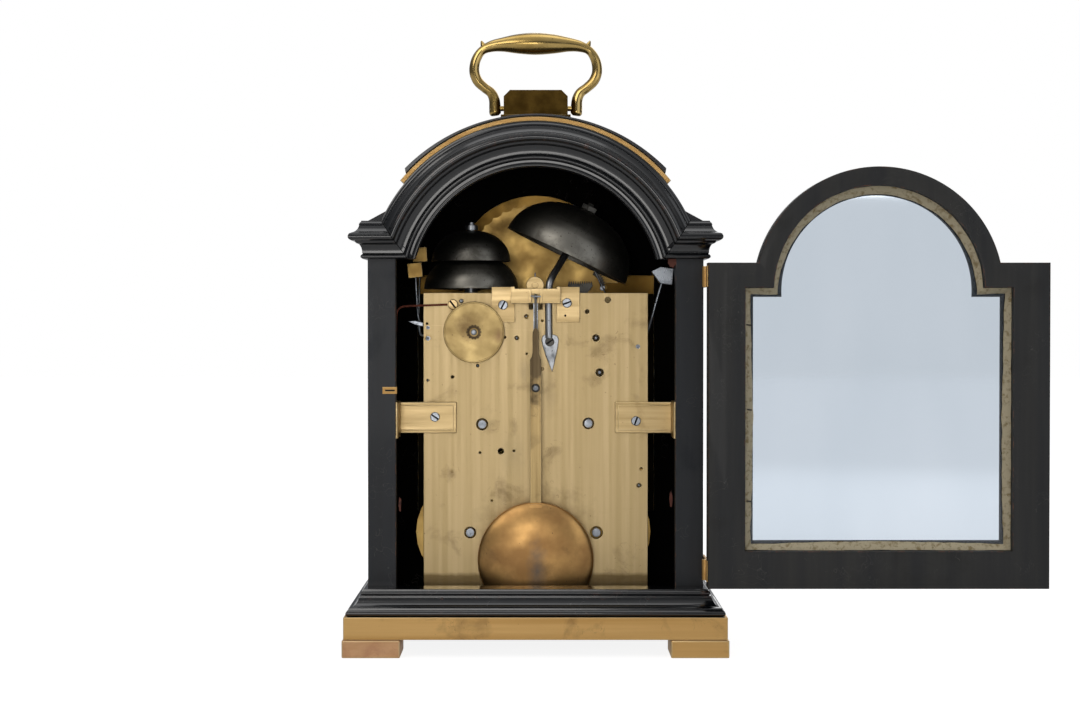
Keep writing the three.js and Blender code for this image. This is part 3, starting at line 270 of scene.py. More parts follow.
def wearEffect():  # worn arrises: the piece's own wear attribute, broken up by noise
    tree, given = newEffect('edgeWear', [('Scale', number, 120.0), ('Amount', number, 0.5)], ['Mask'])
    wear = put(tree, 'ShaderNodeAttribute', attribute_name='wear').outputs['Fac']
    patchy = noiseOf(tree, placeOf(tree), given['Scale'], 5.0, 0.7)
    above = math2(tree, 'SUBTRACT', 1.0, given['Amount'])
    broken = ramp(tree, patchy, above, math2(tree, 'ADD', above, 0.12))
    put(tree, 'NodeGroupOutput', {'Mask': math2(tree, 'MULTIPLY', wear, broken, True)})
    return tree


effects = {'grain': grainEffect(), 'stain': stainEffect(), 'scratches': scratchEffect(), 'wear': wearEffect()}


def effect(tree, name, **inputs):
    return put(tree, 'ShaderNodeGroup', inputs, node_tree=effects[name]).outputs


def newMaterial(name):
    material = bpy.data.materials.new(name)
    return material, emptied(material)


surfaceInputs = {'metallic': 'Metallic', 'coat': 'Coat Weight', 'coatRough': 'Coat Roughness',
                 'through': 'Transmission Weight', 'ior': 'IOR', 'shine': 'Specular IOR Level'}


def surface(tree, colour, rough, height, bump, reach, **fixed):
    raised = put(tree, 'ShaderNodeBump', {'Height': height, 'Strength': bump, 'Distance': reach})
    inputs = {'Base Color': colour, 'Roughness': rough, 'Normal': raised.outputs[0]}
    inputs |= {surfaceInputs[key]: value for key, value in fixed.items()}
    shader = put(tree, 'ShaderNodeBsdfPrincipled', inputs)
    put(tree, 'ShaderNodeOutputMaterial', {'Surface': shader.outputs[0]})


woodFinishes = {  # ground, lighter streak, worn edge, roughness, coat, stretch of the grain, wear, shine
    'ebonyUpright': ('0d1016', '161b22', '5a3a28', 0.5, 0.07, (1, 1, 0.06), 0.5, 0.5),
    'ebonyLevel': ('0b0d12', '161a20', '5b3c2c', 0.30, 0.5, (0.06, 1, 1), 0.5, 0.5),
    'ebonyMould': ('05070a', '0c0f14', '4d3026', 0.15, 0.65, (0.12, 0.12, 0.12), 0.46, 0.5),
    'doorDark': ('191a1c', '2a2927', '5c3a2a', 0.6, 0.06, (1, 1, 0.05), 0.5, 0.5),
    # painted shade: a near-black ebony without sheen for the case's inside, worn by the front frame, the roof
    # and the bottom board
    'shadedInsideEbony': ('080706', '0e0c0a', '1a100b', 0.9, 0.0, (1, 1, 0.08), 0.3, 0.08),
}
brassFinishes = {  # light, dark, stain, roughness low and high, stretch, fineness
    'plateBrass': ('c9b186', 'c0a87a', '7d6545', 0.38, 0.43, (1, 1, 0.02), 1900.0),
    'cockBrass': ('c9b083', 'b99f70', '8d7348', 0.3, 0.42, (0.05, 1, 1), 1500.0),
    'bandBrass': ('e2b672', 'd3a45f', '6e5230', 0.36, 0.5, (0.03, 0.6, 1), 900.0),
    'footBrass': ('e6b98c', 'd9a777', 'b8755f', 0.42, 0.6, (0.2, 0.2, 1), 700.0),
    'giltBrass': ('d3b676', 'b09252', '2f2410', 0.12, 0.26, (0.3, 0.3, 0.3), 500.0),
    # painted shade: the handle block's brass is made dark all over to stand in for its shaded front face
    'shadedBlockBrass': ('56421c', '463414', '2c200c', 0.4, 0.55, (1, 1, 1), 700.0),
    'bobBrass': ('d2a567', 'a98050', '5e4c3e', 0.3, 0.46, (0.5, 1, 0.5), 600.0),
    'dialBrass': ('a98545', '8a682f', '4f3c20', 0.4, 0.6, (0.4, 1, 0.4), 500.0),
    'mattBrass': ('a8823f', '8f6c31', '5c4522', 0.62, 0.75, (1, 1, 1), 2600.0),
    'rodBrass': ('b89f70', '9a8055', '3a302b', 0.34, 0.5, (1, 1, 0.02), 1500.0),
    'pulleyBrass': ('c2a974', 'ae9462', '6b4a3c', 0.34, 0.48, (0.5, 1, 0.5), 900.0),
    'trainBrass': ('b99a5c', 'a08049', '5d4728', 0.3, 0.45, (0.4, 1, 0.4), 900.0),
}
steelFinishes = {  # light, dark, pit, roughness low and high
    'steel': ('9a9fa6', '73787f', '39383a', 0.26, 0.4),
    'darkSteel': ('55534f', '3d3a37', '231e1b', 0.32, 0.5),
    'stainedSteel': ('b9bcc0', '83868a', '3a3431', 0.34, 0.52),
    'bluedSteel': ('1c2750', '121a38', '241d22', 0.2, 0.34),
    'bellMetal': ('86837b', '65625b', '4a4236', 0.36, 0.5),
    'silvered': ('c9c7bf', 'b3b1a8', '8b8778', 0.38, 0.5),
}
plainFinishes = {  # slot, light, dark, roughness, scale of the stains
    'putty': ('door_glass', 'd3c6a6', 'a08c66', 0.75, 260.0),
    # painted shade: near black put in holes and screw slots; the door's dark rail joints use it too
    'hole': ('steel', '0a0806', '030303', 0.8, 90.0),
    'cordRed': ('cord', '8c4c38', '5b2b20', 0.85, 500.0),
    'blackWax': ('silvered_brass', '121212', '050505', 0.45, 200.0),
    'chipWood': ('ebonised_wood', '6b3a2c', '2c1713', 0.7, 160.0),
    'oldCloth': ('cord', '3b1513', '220c0b', 0.9, 400.0),
}
slots = {  # the slots of the brasses and steels that have one of their own
    'bandBrass': 'bound_brass', 'footBrass': 'bound_brass', 'giltBrass': 'handle_brass',
    'shadedBlockBrass': 'handle_brass', 'bobBrass': 'bob_brass', 'bluedSteel': 'blued_steel',
    'bellMetal': 'bell_metal', 'silvered': 'silvered_brass',
}
metalShares = {'bandBrass': 0.6, 'footBrass': 0.6}  # every other brass is 1
scratchTint, polishTint = '6e6a66', 'efdcab'
finishes = {}


def woodMaterial(name, ground, streak, worn, rough, coat, stretch, amount, shine):
    material, tree = newMaterial(name)
    grain = effect(tree, 'grain', Stretch=stretch, Fineness=520.0)
    wear = effect(tree, 'wear', Scale=150.0, Amount=amount)
    stain = effect(tree, 'stain', Scale=26.0, Patches=0.56, Specks=0.71)
    scratch = effect(tree, 'scratches', Scale=52.0, Width=0.006, Where=0.58)
    base = mixColour(tree, grain['Bands'], tint(ground), tint(streak))
    dusty = veil(tree, stain['Cloud'], 0.4, base, streak)
    scored = veil(tree, scratch['Lines'], 0.35, dusty, scratchTint)
    colour = mixColour(tree, wear['Mask'], scored, tint(worn))
    uneven = ramp(tree, stain['Cloud'], 0, 1, rough, rough + 0.16)
    dulled = math2(tree, 'ADD', uneven, math2(tree, 'MULTIPLY', grain['Lines'], 0.05))
    height = math2(tree, 'SUBTRACT', math2(tree, 'MULTIPLY', grain['Lines'], 0.6),
                   math2(tree, 'ADD', stain['Specks'], wear['Mask']))
    surface(tree, colour, dulled, height, 0.22, 0.00008, coat=coat, coatRough=0.1, shine=shine)
    finishes[name] = (material, 'ebonised_wood')


shadedBrass = {  # darkening that follows the height: from, to in mm, colour, share, raggedness in mm
    # on the plate: a painted reflection of the dark base, darkening the plate's foot; the rod is darker
    # towards its top and the bob towards its bottom
    'plateBrass': [(38.0, 35.4, '6d5836', 0.75, 1.0)],
    'rodBrass': [(150.0, 176.0, '2e2827', 0.75, 26.0), (222, 232, '2e2827', 0.6, 3)],
    'bobBrass': [(26.0, 6.0, '6b4a22', 0.5, 10.0)],
}


def heightShade(tree, colour, bands):
    place = placeOf(tree)
    height = axisOf(tree, place, 'Z')
    ragged = math2(tree, 'SUBTRACT', noiseOf(tree, place, 130.0, 4.0), 0.5)
    for start, end, dark, share, reach in bands:
        level = math2(tree, 'ADD', height, math2(tree, 'MULTIPLY', ragged, reach * mm * 3))
        colour = veil(tree, ramp(tree, level, start * mm, end * mm), share, colour, dark)
    return colour


darkPatchesAndShadow = {  # darker patches, one of them a painted shadow: centre across and up, half width and half height in mm, colour, share
    # the plate's first patch is a painted shadow round the top of the pendulum bob
    'plateBrass': [(0, 72, 52, 30, '5f4c2e', 0.6), (8, 178, 5, 14, '8d8068', 0.4),
                   (16, 120, 12, 20, '9a8a6a', 0.35), (-9, 165, 8, 26, '8b7a5e', 0.4)],
    'bobBrass': [(-1, 40, 9, 30, '6f675f', 0.85), (14, 30, 14, 14, 'b98c50', 0.4),
                 (-20, 26, 16, 16, '8d6a3a', 0.4)],
    'pulleyBrass': [(25.5, 203, 5, 7, '6f4a3e', 0.7), (43, 205, 7, 6, '937746', 0.5)],
}


def darkPatch(tree, colour, x, z, wide, high, dark, share):
    place = placeOf(tree)
    away = vectorMath(tree, 'SUBTRACT', place, (x * mm, 0, z * mm))[0]
    scaled = vectorMath(tree, 'MULTIPLY', away, (1 / (wide * mm), 0, 1 / (high * mm)))[0]
    reach = vectorMath(tree, 'LENGTH', scaled)['Value']
    broken = math2(tree, 'MULTIPLY', noiseOf(tree, place, 160.0, 5.0, 0.65), 0.9)
    return veil(tree, ramp(tree, math2(tree, 'ADD', reach, broken), 1.35, 0.35), share, colour, dark)


dialShade = {'top': 232.5, 'colour': '15110a'}  # up to the plates' top edge


def dialBackShade(tree, colour):  # the dial's back is dark where the plates stand before it
    facing = axisOf(tree, put(tree, 'ShaderNodeNewGeometry').outputs['Normal'], 'Y')
    back = math2(tree, 'GREATER_THAN', facing, 0.5)
    low = math2(tree, 'LESS_THAN', axisOf(tree, placeOf(tree), 'Z'), dialShade['top'] * mm)
    return veil(tree, back, low, colour, dialShade['colour'])


def brassMaterial(name, light, dark, stained, low, high, stretch, fineness):
    material, tree = newMaterial(name)
    grain = effect(tree, 'grain', Stretch=stretch, Fineness=fineness)
    stain = effect(tree, 'stain', Scale=34.0, Patches=0.56, Specks=0.735)
    scratch = effect(tree, 'scratches', Scale=70.0, Width=0.008, Where=0.6)
    wear = effect(tree, 'wear', Scale=90.0, Amount=0.75)
    colour = mixColour(tree, grain['Bands'], tint(light), tint(dark))
    layers = [(grain['Lines'], 0.3, dark), (stain['Cloud'], 0.42, stained), (stain['Specks'], 0.75, stained),
              (scratch['Lines'], 0.35, stained), (wear['Mask'], 0.5, polishTint)]
    for mask, share, over in layers:
        colour = veil(tree, mask, share, colour, over)
    # the plate's painted reflection of the base, and the darker ends of rod and bob
    if name in shadedBrass:
        colour = heightShade(tree, colour, shadedBrass[name])
    # darker patches, with a painted shadow round the bob's top on the plate
    for spot in darkPatchesAndShadow.get(name, []):
        colour = darkPatch(tree, colour, *spot)
    if name == 'dialBrass':
        colour = dialBackShade(tree, colour)
    rough = math2(tree, 'ADD', ramp(tree, grain['Bands'], 0, 1, low, high),
                  math2(tree, 'MULTIPLY', stain['Cloud'], 0.1))
    height = math2(tree, 'SUBTRACT', grain['Lines'], stain['Specks'])
    surface(tree, colour, rough, height, 0.2, 0.00006, metallic=metalShares.get(name, 1.0))
    finishes[name] = (material, slots.get(name, 'plate_brass'))


def steelMaterial(name, light, dark, pit, low, high):
    material, tree = newMaterial(name)
    stain = effect(tree, 'stain', Scale=60.0, Patches=0.5, Specks=0.66)
    grain = effect(tree, 'grain', Stretch=(1, 1, 0.3), Fineness=900.0)
    base = mixColour(tree, stain['Cloud'], tint(light), tint(dark))
    colour = veil(tree, stain['Specks'], 0.8, base, pit)
    rough = math2(tree, 'ADD', ramp(tree, stain['Cloud'], 0, 1, low, high),
                  math2(tree, 'MULTIPLY', grain['Lines'], 0.06))
    height = math2(tree, 'SUBTRACT', math2(tree, 'MULTIPLY', grain['Lines'], 0.4), stain['Specks'])
    surface(tree, colour, rough, height, 0.3, 0.00008, metallic=1.0)
    finishes[name] = (material, slots.get(name, 'steel'))


def plainMaterial(name, slot, light, dark, rough, scale):  # putty, cord, wax, cloth, and the painted shade of holes
    material, tree = newMaterial(name)
    stain = effect(tree, 'stain', Scale=scale, Patches=0.5, Specks=0.64)
    colour = mixColour(tree, stain['Cloud'], tint(light), tint(dark))
    spotted = veil(tree, stain['Specks'], 0.7, colour, dark)
    surface(tree, spotted, ramp(tree, stain['Cloud'], 0, 1, rough, rough + 0.1), stain['Cloud'], 0.25, 0.0002)
    finishes[name] = (material, slot)


def glassMaterial():
    material, tree = newMaterial('paleGlass')
    waves = noiseOf(tree, stretched(tree, (1, 1, 0.35)), 22.0, 1.0)
    colour = mixColour(tree, waves, tint('c9d1da'), tint('bcc6d0'))
    surface(tree, colour, ramp(tree, waves, 0.3, 0.7, 0.03, 0.07), waves, 0.06, 0.0004, through=1.0, ior=1.5)
    finishes['paleGlass'] = (material, 'door_glass')


for make, group in ((woodMaterial, woodFinishes), (brassMaterial, brassFinishes),
                    (steelMaterial, steelFinishes), (plainMaterial, plainFinishes)):
    for name, values in group.items():
        make(name, *values)
glassMaterial()
print('finishes:', len(finishes))

# ---- making meshes; every length below is in mm ----

bevelRings = 2


def finish(data, name, body, look, *nodes):
    piece = bpy.data.objects.new(name, data)
    scene.collection.objects.link(piece)
    data.materials.clear()
    data.materials.append(finishes[look][0])
    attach(piece, body)
    if nodes:
        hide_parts(*nodes)
    return piece


def shade(data, angle=32, flat=False):
    data.shade_smooth()
    data.set_sharp_from_angle(angle=math.radians(angle))
    if flat:  # a broad flat face keeps its own normal beside a rounded arris
        broad = {key for face in data.polygons if abs(face.normal.y) > 0.9995 for key in face.edge_keys}
        other = {key for face in data.polygons if abs(face.normal.y) <= 0.9995 for key in face.edge_keys}
        kept = data.attributes.get('sharp_edge') or data.attributes.new('sharp_edge', 'BOOLEAN', 'EDGE')
        for edge in data.edges:
            if edge.key in broad and edge.key in other:
                kept.data[edge.index].value = True


def mend(data, near=1e-7, thin=False):  # joins doubled points and turns the faces outward
    shell = bmesh.new()
    shell.from_mesh(data)
    bmesh.ops.remove_doubles(shell, verts=shell.verts, dist=near)
    if thin:
        bmesh.ops.dissolve_degenerate(shell, edges=shell.edges, dist=near)
    bmesh.ops.recalc_face_normals(shell, faces=shell.faces)
    shell.to_mesh(data)
    shell.free()


def meshOf(name, points, faces):
    data = bpy.data.meshes.new(name)
    data.from_pydata([Vector(p) * mm for p in points], [], faces)
    mend(data)
    return data


def markWear(data, widest=None):  # the narrow faces between broad ones are the arrises that wear
    layer = data.attributes.new('wear', 'FLOAT', 'FACE')
    for face, slot in zip(data.polygons, layer.data):
        sides = [(data.vertices[a].co - data.vertices[b].co).length for a, b in face.edge_keys]
        slot.value = 1.0 if widest and min(sides) < widest * mm and max(sides) > 3 * min(sides) else 0.0


def makePiece(name, points, faces, body, look, *nodes, angle=32, wear=None, turn=None):
    data = meshOf(name, points, faces)
    if turn is not None:
        data.transform(turn)
    shade(data, angle)
    markWear(data, wear)
    return finish(data, name, body, look, *nodes)


def ringFaces(rings, closed):
    count = len(rings[0])
    faces = []
    for i in range(len(rings) if closed else len(rings) - 1):
        here, there = i * count, (i + 1) % len(rings) * count
        for j in range(count):
            k = (j + 1) % count
            faces.append((here + j, here + k, there + k, there + j))
    if not closed:
        end = len(rings) * count
        faces += [tuple(range(count)), tuple(range(end - 1, end - count - 1, -1))]
    return [p for ring in rings for p in ring], faces


def loftPiece(name, rings, body, look, *nodes, closed=False, angle=32, wear=None, turn=None):
    return makePiece(name, *ringFaces(rings, closed), body, look, *nodes, angle=angle, wear=wear, turn=turn)


def lathePoints(profile, steps):  # turned about Y: the profile lists radius and Y
    return [[(r * math.cos(a), y, r * math.sin(a)) for r, y in profile]
            for a in (2 * math.pi * i / steps for i in range(steps))]


def turnPiece(name, centre, profile, body, look, *nodes, steps=64, angle=32, lean=None):
    # a profile with both ends on the axis closes the piece; its poles are merged into one point each
    place = Matrix.Translation(Vector(centre) * mm)
    turn = place @ lean if lean is not None else place
    return loftPiece(name, lathePoints(profile, steps), body, look, *nodes, closed=True, angle=angle,
                     turn=turn)


def cutShape(name, outlines, y0, y1, body, look, *nodes, bevel=0.5, turn=None):
    # flat outlines in X and Z (the later ones are holes), made thick from y0 to y1, with rounded arrises
    curve = bpy.data.curves.new(name, 'CURVE')
    curve.dimensions = '2D'
    curve.fill_mode = 'BOTH'
    curve.extrude = (y1 - y0) / 2 - bevel
    curve.bevel_depth = bevel
    curve.offset = -bevel
    curve.bevel_resolution = bevelRings
    for outline in outlines:
        line = curve.splines.new('POLY')
        line.points.add(len(outline) - 1)
        for spot, (x, z) in zip(line.points, outline):
            spot.co = (x, z, 0, 1)
        line.use_cyclic_u = True
    drawing = bpy.data.objects.new(name, curve)
    scene.collection.objects.link(drawing)
    data = bpy.data.meshes.new_from_object(drawing.evaluated_get(bpy.context.evaluated_depsgraph_get()))
    bpy.data.objects.remove(drawing)
    bpy.data.curves.remove(curve)
    data.transform(Matrix.Translation((0, (y0 + y1) / 2 * mm, 0)) @ upright @ Matrix.Scale(mm, 4))
    mend(data, 1e-6, True)
    if turn is not None:
        data.transform(turn)
    shade(data, 40, True)
    markWear(data, bevel)
    data.name = name
    return finish(data, name, body, look, *nodes)


def bevelNode(node, look, width=0.4, segments=3):
    # a copy of the node's solid with its arrises rounded
    source = frame['nodes'][node]
    shell = bmesh.new()
    shell.from_mesh(source.data)
    bmesh.ops.remove_doubles(shell, verts=shell.verts, dist=1e-6)
    bmesh.ops.dissolve_limit(shell, angle_limit=math.radians(1), verts=shell.verts, edges=shell.edges)
    sharp = [e for e in shell.edges if len(e.link_faces) == 2 and e.calc_face_angle() > math.radians(25)]
    bmesh.ops.bevel(shell, geom=sharp, offset=width * mm, segments=segments, profile=0.5, affect='EDGES',
                    clamp_overlap=True)
    bmesh.ops.triangulate(shell, faces=[f for f in shell.faces if len(f.verts) > 4])
    data = bpy.data.meshes.new(node + '_fine')
    shell.to_mesh(data)
    shell.free()
    shade(data, flat=True)
    markWear(data, width)
    return finish(data, node + '_fine', source['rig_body'], look, node)


def arcOf(cx, cz, r, start, end, steps):  # points on an arc, angles in degrees
    return [(cx + r * math.cos(math.radians(start + (end - start) * i / steps)),
             cz + r * math.sin(math.radians(start + (end - start) * i / steps))) for i in range(steps + 1)]


def archedOutline(half, bottom, shoulder, radius, centre, grow=0.0, steps=48):
    top, reach = shoulder + grow, radius + grow
    spring = math.degrees(math.asin((top - centre) / reach))
    return [(-half - grow, bottom - grow), (half + grow, bottom - grow), (half + grow, top),
            *arcOf(0, centre, reach, spring, 180 - spring, steps), (-half - grow, top)]


def circle(x, z, r, steps=24):
    return arcOf(x, z, r, 0, 360 * (steps - 1) / steps, steps - 1)


def rect(x0, z0, x1, z1):
    return [(x0, z0), (x1, z0), (x1, z1), (x0, z1)]


def smoothRoute(points, steps):  # Catmull-Rom through the points, evenly shared between them
    spots = [Vector(p) for p in points]
    padded = [spots[0] * 2 - spots[1], *spots, spots[-1] * 2 - spots[-2]]
    out = []
    for i in range(len(spots) - 1):
        a, b, c, d = padded[i:i + 4]
        for k in range(steps):
            t = k / steps
            out.append(0.5 * (2 * b + (c - a) * t + (2 * a - 5 * b + 4 * c - d) * t * t
                              + (3 * b - a - 3 * c + d) * t ** 3))
    return out + [spots[-1]]


def headings(path):  # the direction of a route at each of its points
    last = len(path) - 1
    return [(path[min(i + 1, last)] - path[max(i - 1, 0)]).normalized() for i in range(len(path))]


def rodPiece(name, route, radii, body, look, *nodes, sides=24, steps=8, angle=50, ripple=None):
    # a rod along a smooth route; its radii are given at the route's points
    path = smoothRoute(route, steps)
    widths = smoothRoute([(r, 0, 0) for r in radii], steps)
    side = Vector((0, 0, 1)) if abs((path[1] - path[0]).normalized().z) < 0.9 else Vector((0, 1, 0))
    rings = []
    for i, (spot, ahead) in enumerate(zip(path, headings(path))):
        side = (side - ahead * side.dot(ahead)).normalized()
        other = ahead.cross(side)
        ring = []
        for k in range(sides):
            turn = 2 * math.pi * k / sides
            r = widths[i].x * (1 + (ripple(turn) if ripple else 0))
            ring.append(tuple(spot + side * r * math.cos(turn) + other * r * math.sin(turn)))
        rings.append(ring)
    return loftPiece(name, rings, body, look, *nodes, angle=angle)

# ---- case ----

caseSizes = {
    'half': 114.2, 'depth': 56.0, 'frame': 12.0, 'bottom': 15.3, 'spring': 255.0, 'centre': 232.9,
    'archInner': 85.1, 'lip': 4.3, 'cornice': 25.8, 'shoulder': 7.0, 'stile': 19.0, 'roof': 12.0, 'gap': 0.3,
}
archFascia = caseSizes['archInner'] + caseSizes['lip']
archOuter = archFascia + caseSizes['cornice']
stileInner = caseSizes['half'] - caseSizes['stile']


def bulge(a, b, amount, steps=6):  # a round stretch between two points of a profile
    a, b = Vector(a), Vector(b)
    across = Vector((b.y - a.y, a.x - b.x)).normalized()
    return [tuple(a.lerp(b, i / steps) + across * amount * 4 * (i / steps) * (1 - i / steps))
            for i in range(steps + 1)]


baseProfile = [  # how far the moulding stands out from its top edge, and its height
    *bulge((10.1, 15.3), (10.1, 19.3), 1.3, 8), (9.5, 19.6), (9.4, 20.7),
    *bulge((8.7, 21.0), (3.1, 26.6), -1.25, 10), (2.5, 26.9), (2.4, 28.3),
    *bulge((1.2, 28.6), (1.1, 31.2), 0.75, 6), (0.5, 31.5), (0.4, 32.2), (0.0, 32.5),
]
corniceProfile = [  # height above the cornice's underside, and how far it stands out
    *bulge((0.0, 3.1), (3.2, 3.3), -1.35, 8), (3.5, 3.0), *bulge((3.9, 3.5), (9.6, 5.1), 0.55, 7),
    (9.9, 5.6), *bulge((10.2, 6.1), (12.0, 8.0), -0.5, 4), (12.1, 8.2), (12.15, 10.1),
    *bulge((12.3, 10.3), (16.9, 11.7), -1.5, 9), (17.3, 10.9), *bulge((17.5, 10.4), (21.8, 5.6), 0.9, 8),
    (22.3, 5.3), *bulge((22.6, 5.5), (25.0, 4.2), -0.4, 4), (25.8, 3.9),
]
lipProfile = [(-4.3, 2.9), (-4.1, 3.2), *bulge((-3.9, 3.2), (-2.5, 3.1), -0.35, 4), (-2.2, 2.6), (-1.7, 2.4),
              (-0.4, 2.5)]


def setWear(piece, count, strips):  # strips of a lofted section that are worn, with how much
    layer = piece.data.attributes['wear']
    for i, slot in enumerate(layer.data):
        if i % count in strips:
            slot.value = strips[i % count]


def makeBase():
    corner = [(1, 1), (-1, 1), (-1, -1), (1, -1)]
    edge = (caseSizes['half'] + 1.4, 76.0)
    rings = []
    inside = (caseSizes['half'] + 0.3, caseSizes['depth'] + 0.3)
    for sx, sy in corner:
        ring = [(sx * (edge[0] + out), sy * (edge[1] + out), z) for out, z in baseProfile]
        rings.append(ring + [(sx * inside[0], sy * inside[1], z) for z in (32.5, 15.3)])
    moulding = loftPiece('base_moulding_fine', rings, 'root', 'ebonyMould', 'base_moulding', closed=True,
                         angle=26)
    strips = {i: 0.45 for i in range(2, 7)} | {i: 0.8 for i in (20, 21, 22)} | {i: 0.6 for i in range(24, 30)}
    setWear(moulding, len(rings[0]), strips)
    bevelNode('plinth_band', 'bandBrass', 0.45)
    for corner in ('back_left', 'back_right', 'front_left', 'front_right'):
        bevelNode('foot_' + corner, 'footBrass' if 'left' in corner else 'bandBrass', 0.9)


def makeCarcass():
    s = caseSizes
    shoulder = s['spring'] + s['cornice'] + s['shoulder']
    start = math.degrees(math.asin((shoulder - s['centre']) / archOuter))
    top = s['spring'] + s['cornice']
    over = arcOf(0, s['centre'], archOuter, start, 180 - start, 60)
    outer = [(-s['half'], s['bottom']), (s['half'], s['bottom']), (s['half'], top), *over, (-s['half'], top)]
    opening = archedOutline(stileInner, 16.5, s['spring'], s['archInner'], s['centre'])
    cutShape('back_frame_fine', [outer, opening], s['depth'] - s['frame'], s['depth'], 'root', 'ebonyUpright',
             'back_frame', bevel=0.45)
    dialHole = archedOutline(86, 74, 246, 59, 245, 0.3)
    # the front frame and the roof wear the near-black inside finish: painted shade
    cutShape('front_frame_fine', [outer, dialHole], -s['depth'], s['frame'] - s['depth'], 'root',
             'shadedInsideEbony', 'front_frame', bevel=0.45)
    low = s['spring'] + s['gap']
    hollow = archOuter - s['roof']
    foot = math.degrees(math.asin((low - s['centre']) / hollow))
    under = reversed(arcOf(0, s['centre'], hollow, foot, 180 - foot, 60))
    vault = [(-s['half'], low), *under, (s['half'], low), (s['half'], top), *over, (-s['half'], top)]
    cutShape('roof_fine', [vault], -43.7, 43.7, 'root', 'shadedInsideEbony', 'roof', bevel=0.4)


def mitre(rise):
    height = caseSizes['spring'] + max(rise, 0) - caseSizes['centre']
    radius = archFascia + rise
    return math.sqrt(radius * radius - height * height), math.degrees(math.asin(height / radius))


def makeMouldings():
    s = caseSizes
    section = [(-s['lip'], s['gap']), *lipProfile, *corniceProfile, (s['cornice'], s['gap'])]
    torus = {len(lipProfile) + 26 + i: 1.0 for i in range(0, 9)}
    for side, label in ((1, 'back'), (-1, 'front')):
        rings = []
        for i in range(97):
            ring = []
            for rise, out in section:
                start = mitre(rise)[1] + math.degrees(s['gap'] / archOuter)
                a = math.radians(start + (180 - 2 * start) * i / 96)
                r = archFascia + rise
                ring.append((r * math.cos(a), side * (s['depth'] + out), s['centre'] + r * math.sin(a)))
            rings.append(ring)
        name = 'arch_moulding_' + label
        setWear(loftPiece(name + '_fine', rings, 'root', 'ebonyMould', name, angle=26), len(section), torus)
    straight = [(0, s['gap']), *corniceProfile, (s['cornice'], s['gap'])]
    torus = {27 + i - 6: 0.55 for i in range(0, 9)}
    for side, label in ((1, 'left'), (-1, 'right')):
        rings = []
        for at, face in (('end', 1), ('corner', 1), ('corner', -1), ('end', -1)):
            rings.append([(side * (mitre(rise)[0] + s['gap'] if at == 'end' else s['half'] + out),
                           face * (s['depth'] + out), s['spring'] + rise) for rise, out in straight])
        name = 'cornice_' + label
        setWear(loftPiece(name + '_fine', rings, 'root', 'ebonyMould', name, angle=26), len(straight), torus)


topSizes = {'span': 50.7, 'band': 3.6, 'padRadius': 125.0, 'padCrown': 1.3, 'halfDepth': 58.0}


def makeTop():
    t, s = topSizes, caseSizes
    inner = archOuter + s['gap']
    outer = archOuter + t['band']
    low, high = 90 - t['span'], 90 + t['span']
    band = arcOf(0, s['centre'], outer, low, high, 72) + arcOf(0, s['centre'], inner, high, low, 72)
    cutShape('pad_band_fine', [band], -t['halfDepth'], t['halfDepth'], 'root', 'bandBrass', 'pad_band')
    under = outer + s['gap']
    tip = low + 3
    padCentre = s['centre'] + under + t['padCrown'] - t['padRadius']
    edge = under * math.cos(math.radians(tip)) + 0.6
    top = math.degrees(math.acos(edge / t['padRadius']))
    crown = arcOf(0, padCentre, t['padRadius'], top, 180 - top, 72)
    pad = crown + arcOf(0, s['centre'], under, 180 - tip, tip, 72)
    depth = t['halfDepth'] + 1
    cutShape('top_pad_fine', [pad], -depth, depth, 'root', 'ebonyLevel', 'top_pad', bevel=0.35)
    # the block wears a darkened brass: painted shade
    bevelNode('handle_block', 'shadedBlockBrass', 0.9)


handleSizes = {
    'pivot': 362.3, 'pin': 1.8, 'grip': (0, 45.6, 7.6),
    'side': [(28.4, -4.9, 2.6), (28.6, -3.4, 3.9), (28.7, 0, 4.0), (29.2, 6.3, 3.7), (31.4, 11.1, 3.4),
             (36, 14.7, 3.3), (40.6, 19.1, 3.5), (43, 24.7, 3.5), (43, 30.5, 3.4), (41.2, 36.1, 3.2),
             (37.4, 41.0, 3.0), (31, 43.8, 3.9), (23.3, 45.0, 4.9), (12.6, 45.5, 6.7)],
}


def makeHandle():
    h = handleSizes
    half = [(x, 0, h['pivot'] + z) for x, z, _ in h['side']]
    route = half + [(0, 0, h['pivot'] + h['grip'][1])] + [(-x, y, z) for x, y, z in reversed(half)]
    radii = [r for _, _, r in h['side']]
    radii = radii + [h['grip'][2]] + radii[::-1]
    rodPiece('handle_bail', route, radii, 'handle', 'giltBrass', 'carrying_handle', sides=32, steps=9,
             ripple=lambda turn: 0.02 * math.cos(8 * turn), angle=60)
    for side, label in ((1, 'left'), (-1, 'right')):
        pin = [(0, 17.5), (h['pin'], 17.5), (h['pin'], 30.6), (2.6, 30.8), (2.9, 31.6), (2.2, 32.3),
               (0, 32.5)]
        turnPiece('handle_pin_' + label, (0, 0, h['pivot']), [(r, y * side) for r, y in pin], 'handle',
                  'giltBrass', 'carrying_handle', steps=24, lean=Matrix.Rotation(math.radians(-90), 4, 'Z'))
        ear = [(side * 35.6, 0, h['pivot'] + 42.2), (side * 37.0, 0, h['pivot'] + 44.6),
               (side * 37.9, 0, h['pivot'] + 46.6), (side * 38.2, 0, h['pivot'] + 47.6)]
        rodPiece('handle_ear_' + label, ear, (2.4, 1.9, 1.0, 0.5), 'handle', 'giltBrass', 'carrying_handle',
                 sides=12, steps=4)


doorSizes = {
    'hinge': (-114.2, 74.3), 'thick': 18.0, 'half': 113.5, 'bottom': 34.5, 'shoulder': 251.6, 'arch': 82.5,
    'stile': 24.6, 'rail': 25.2, 'archRail': 12.5, 'innerShoulder': 235.0, 'rebate': 6.0, 'deep': 12.0,
    'glass': 2.0,
}


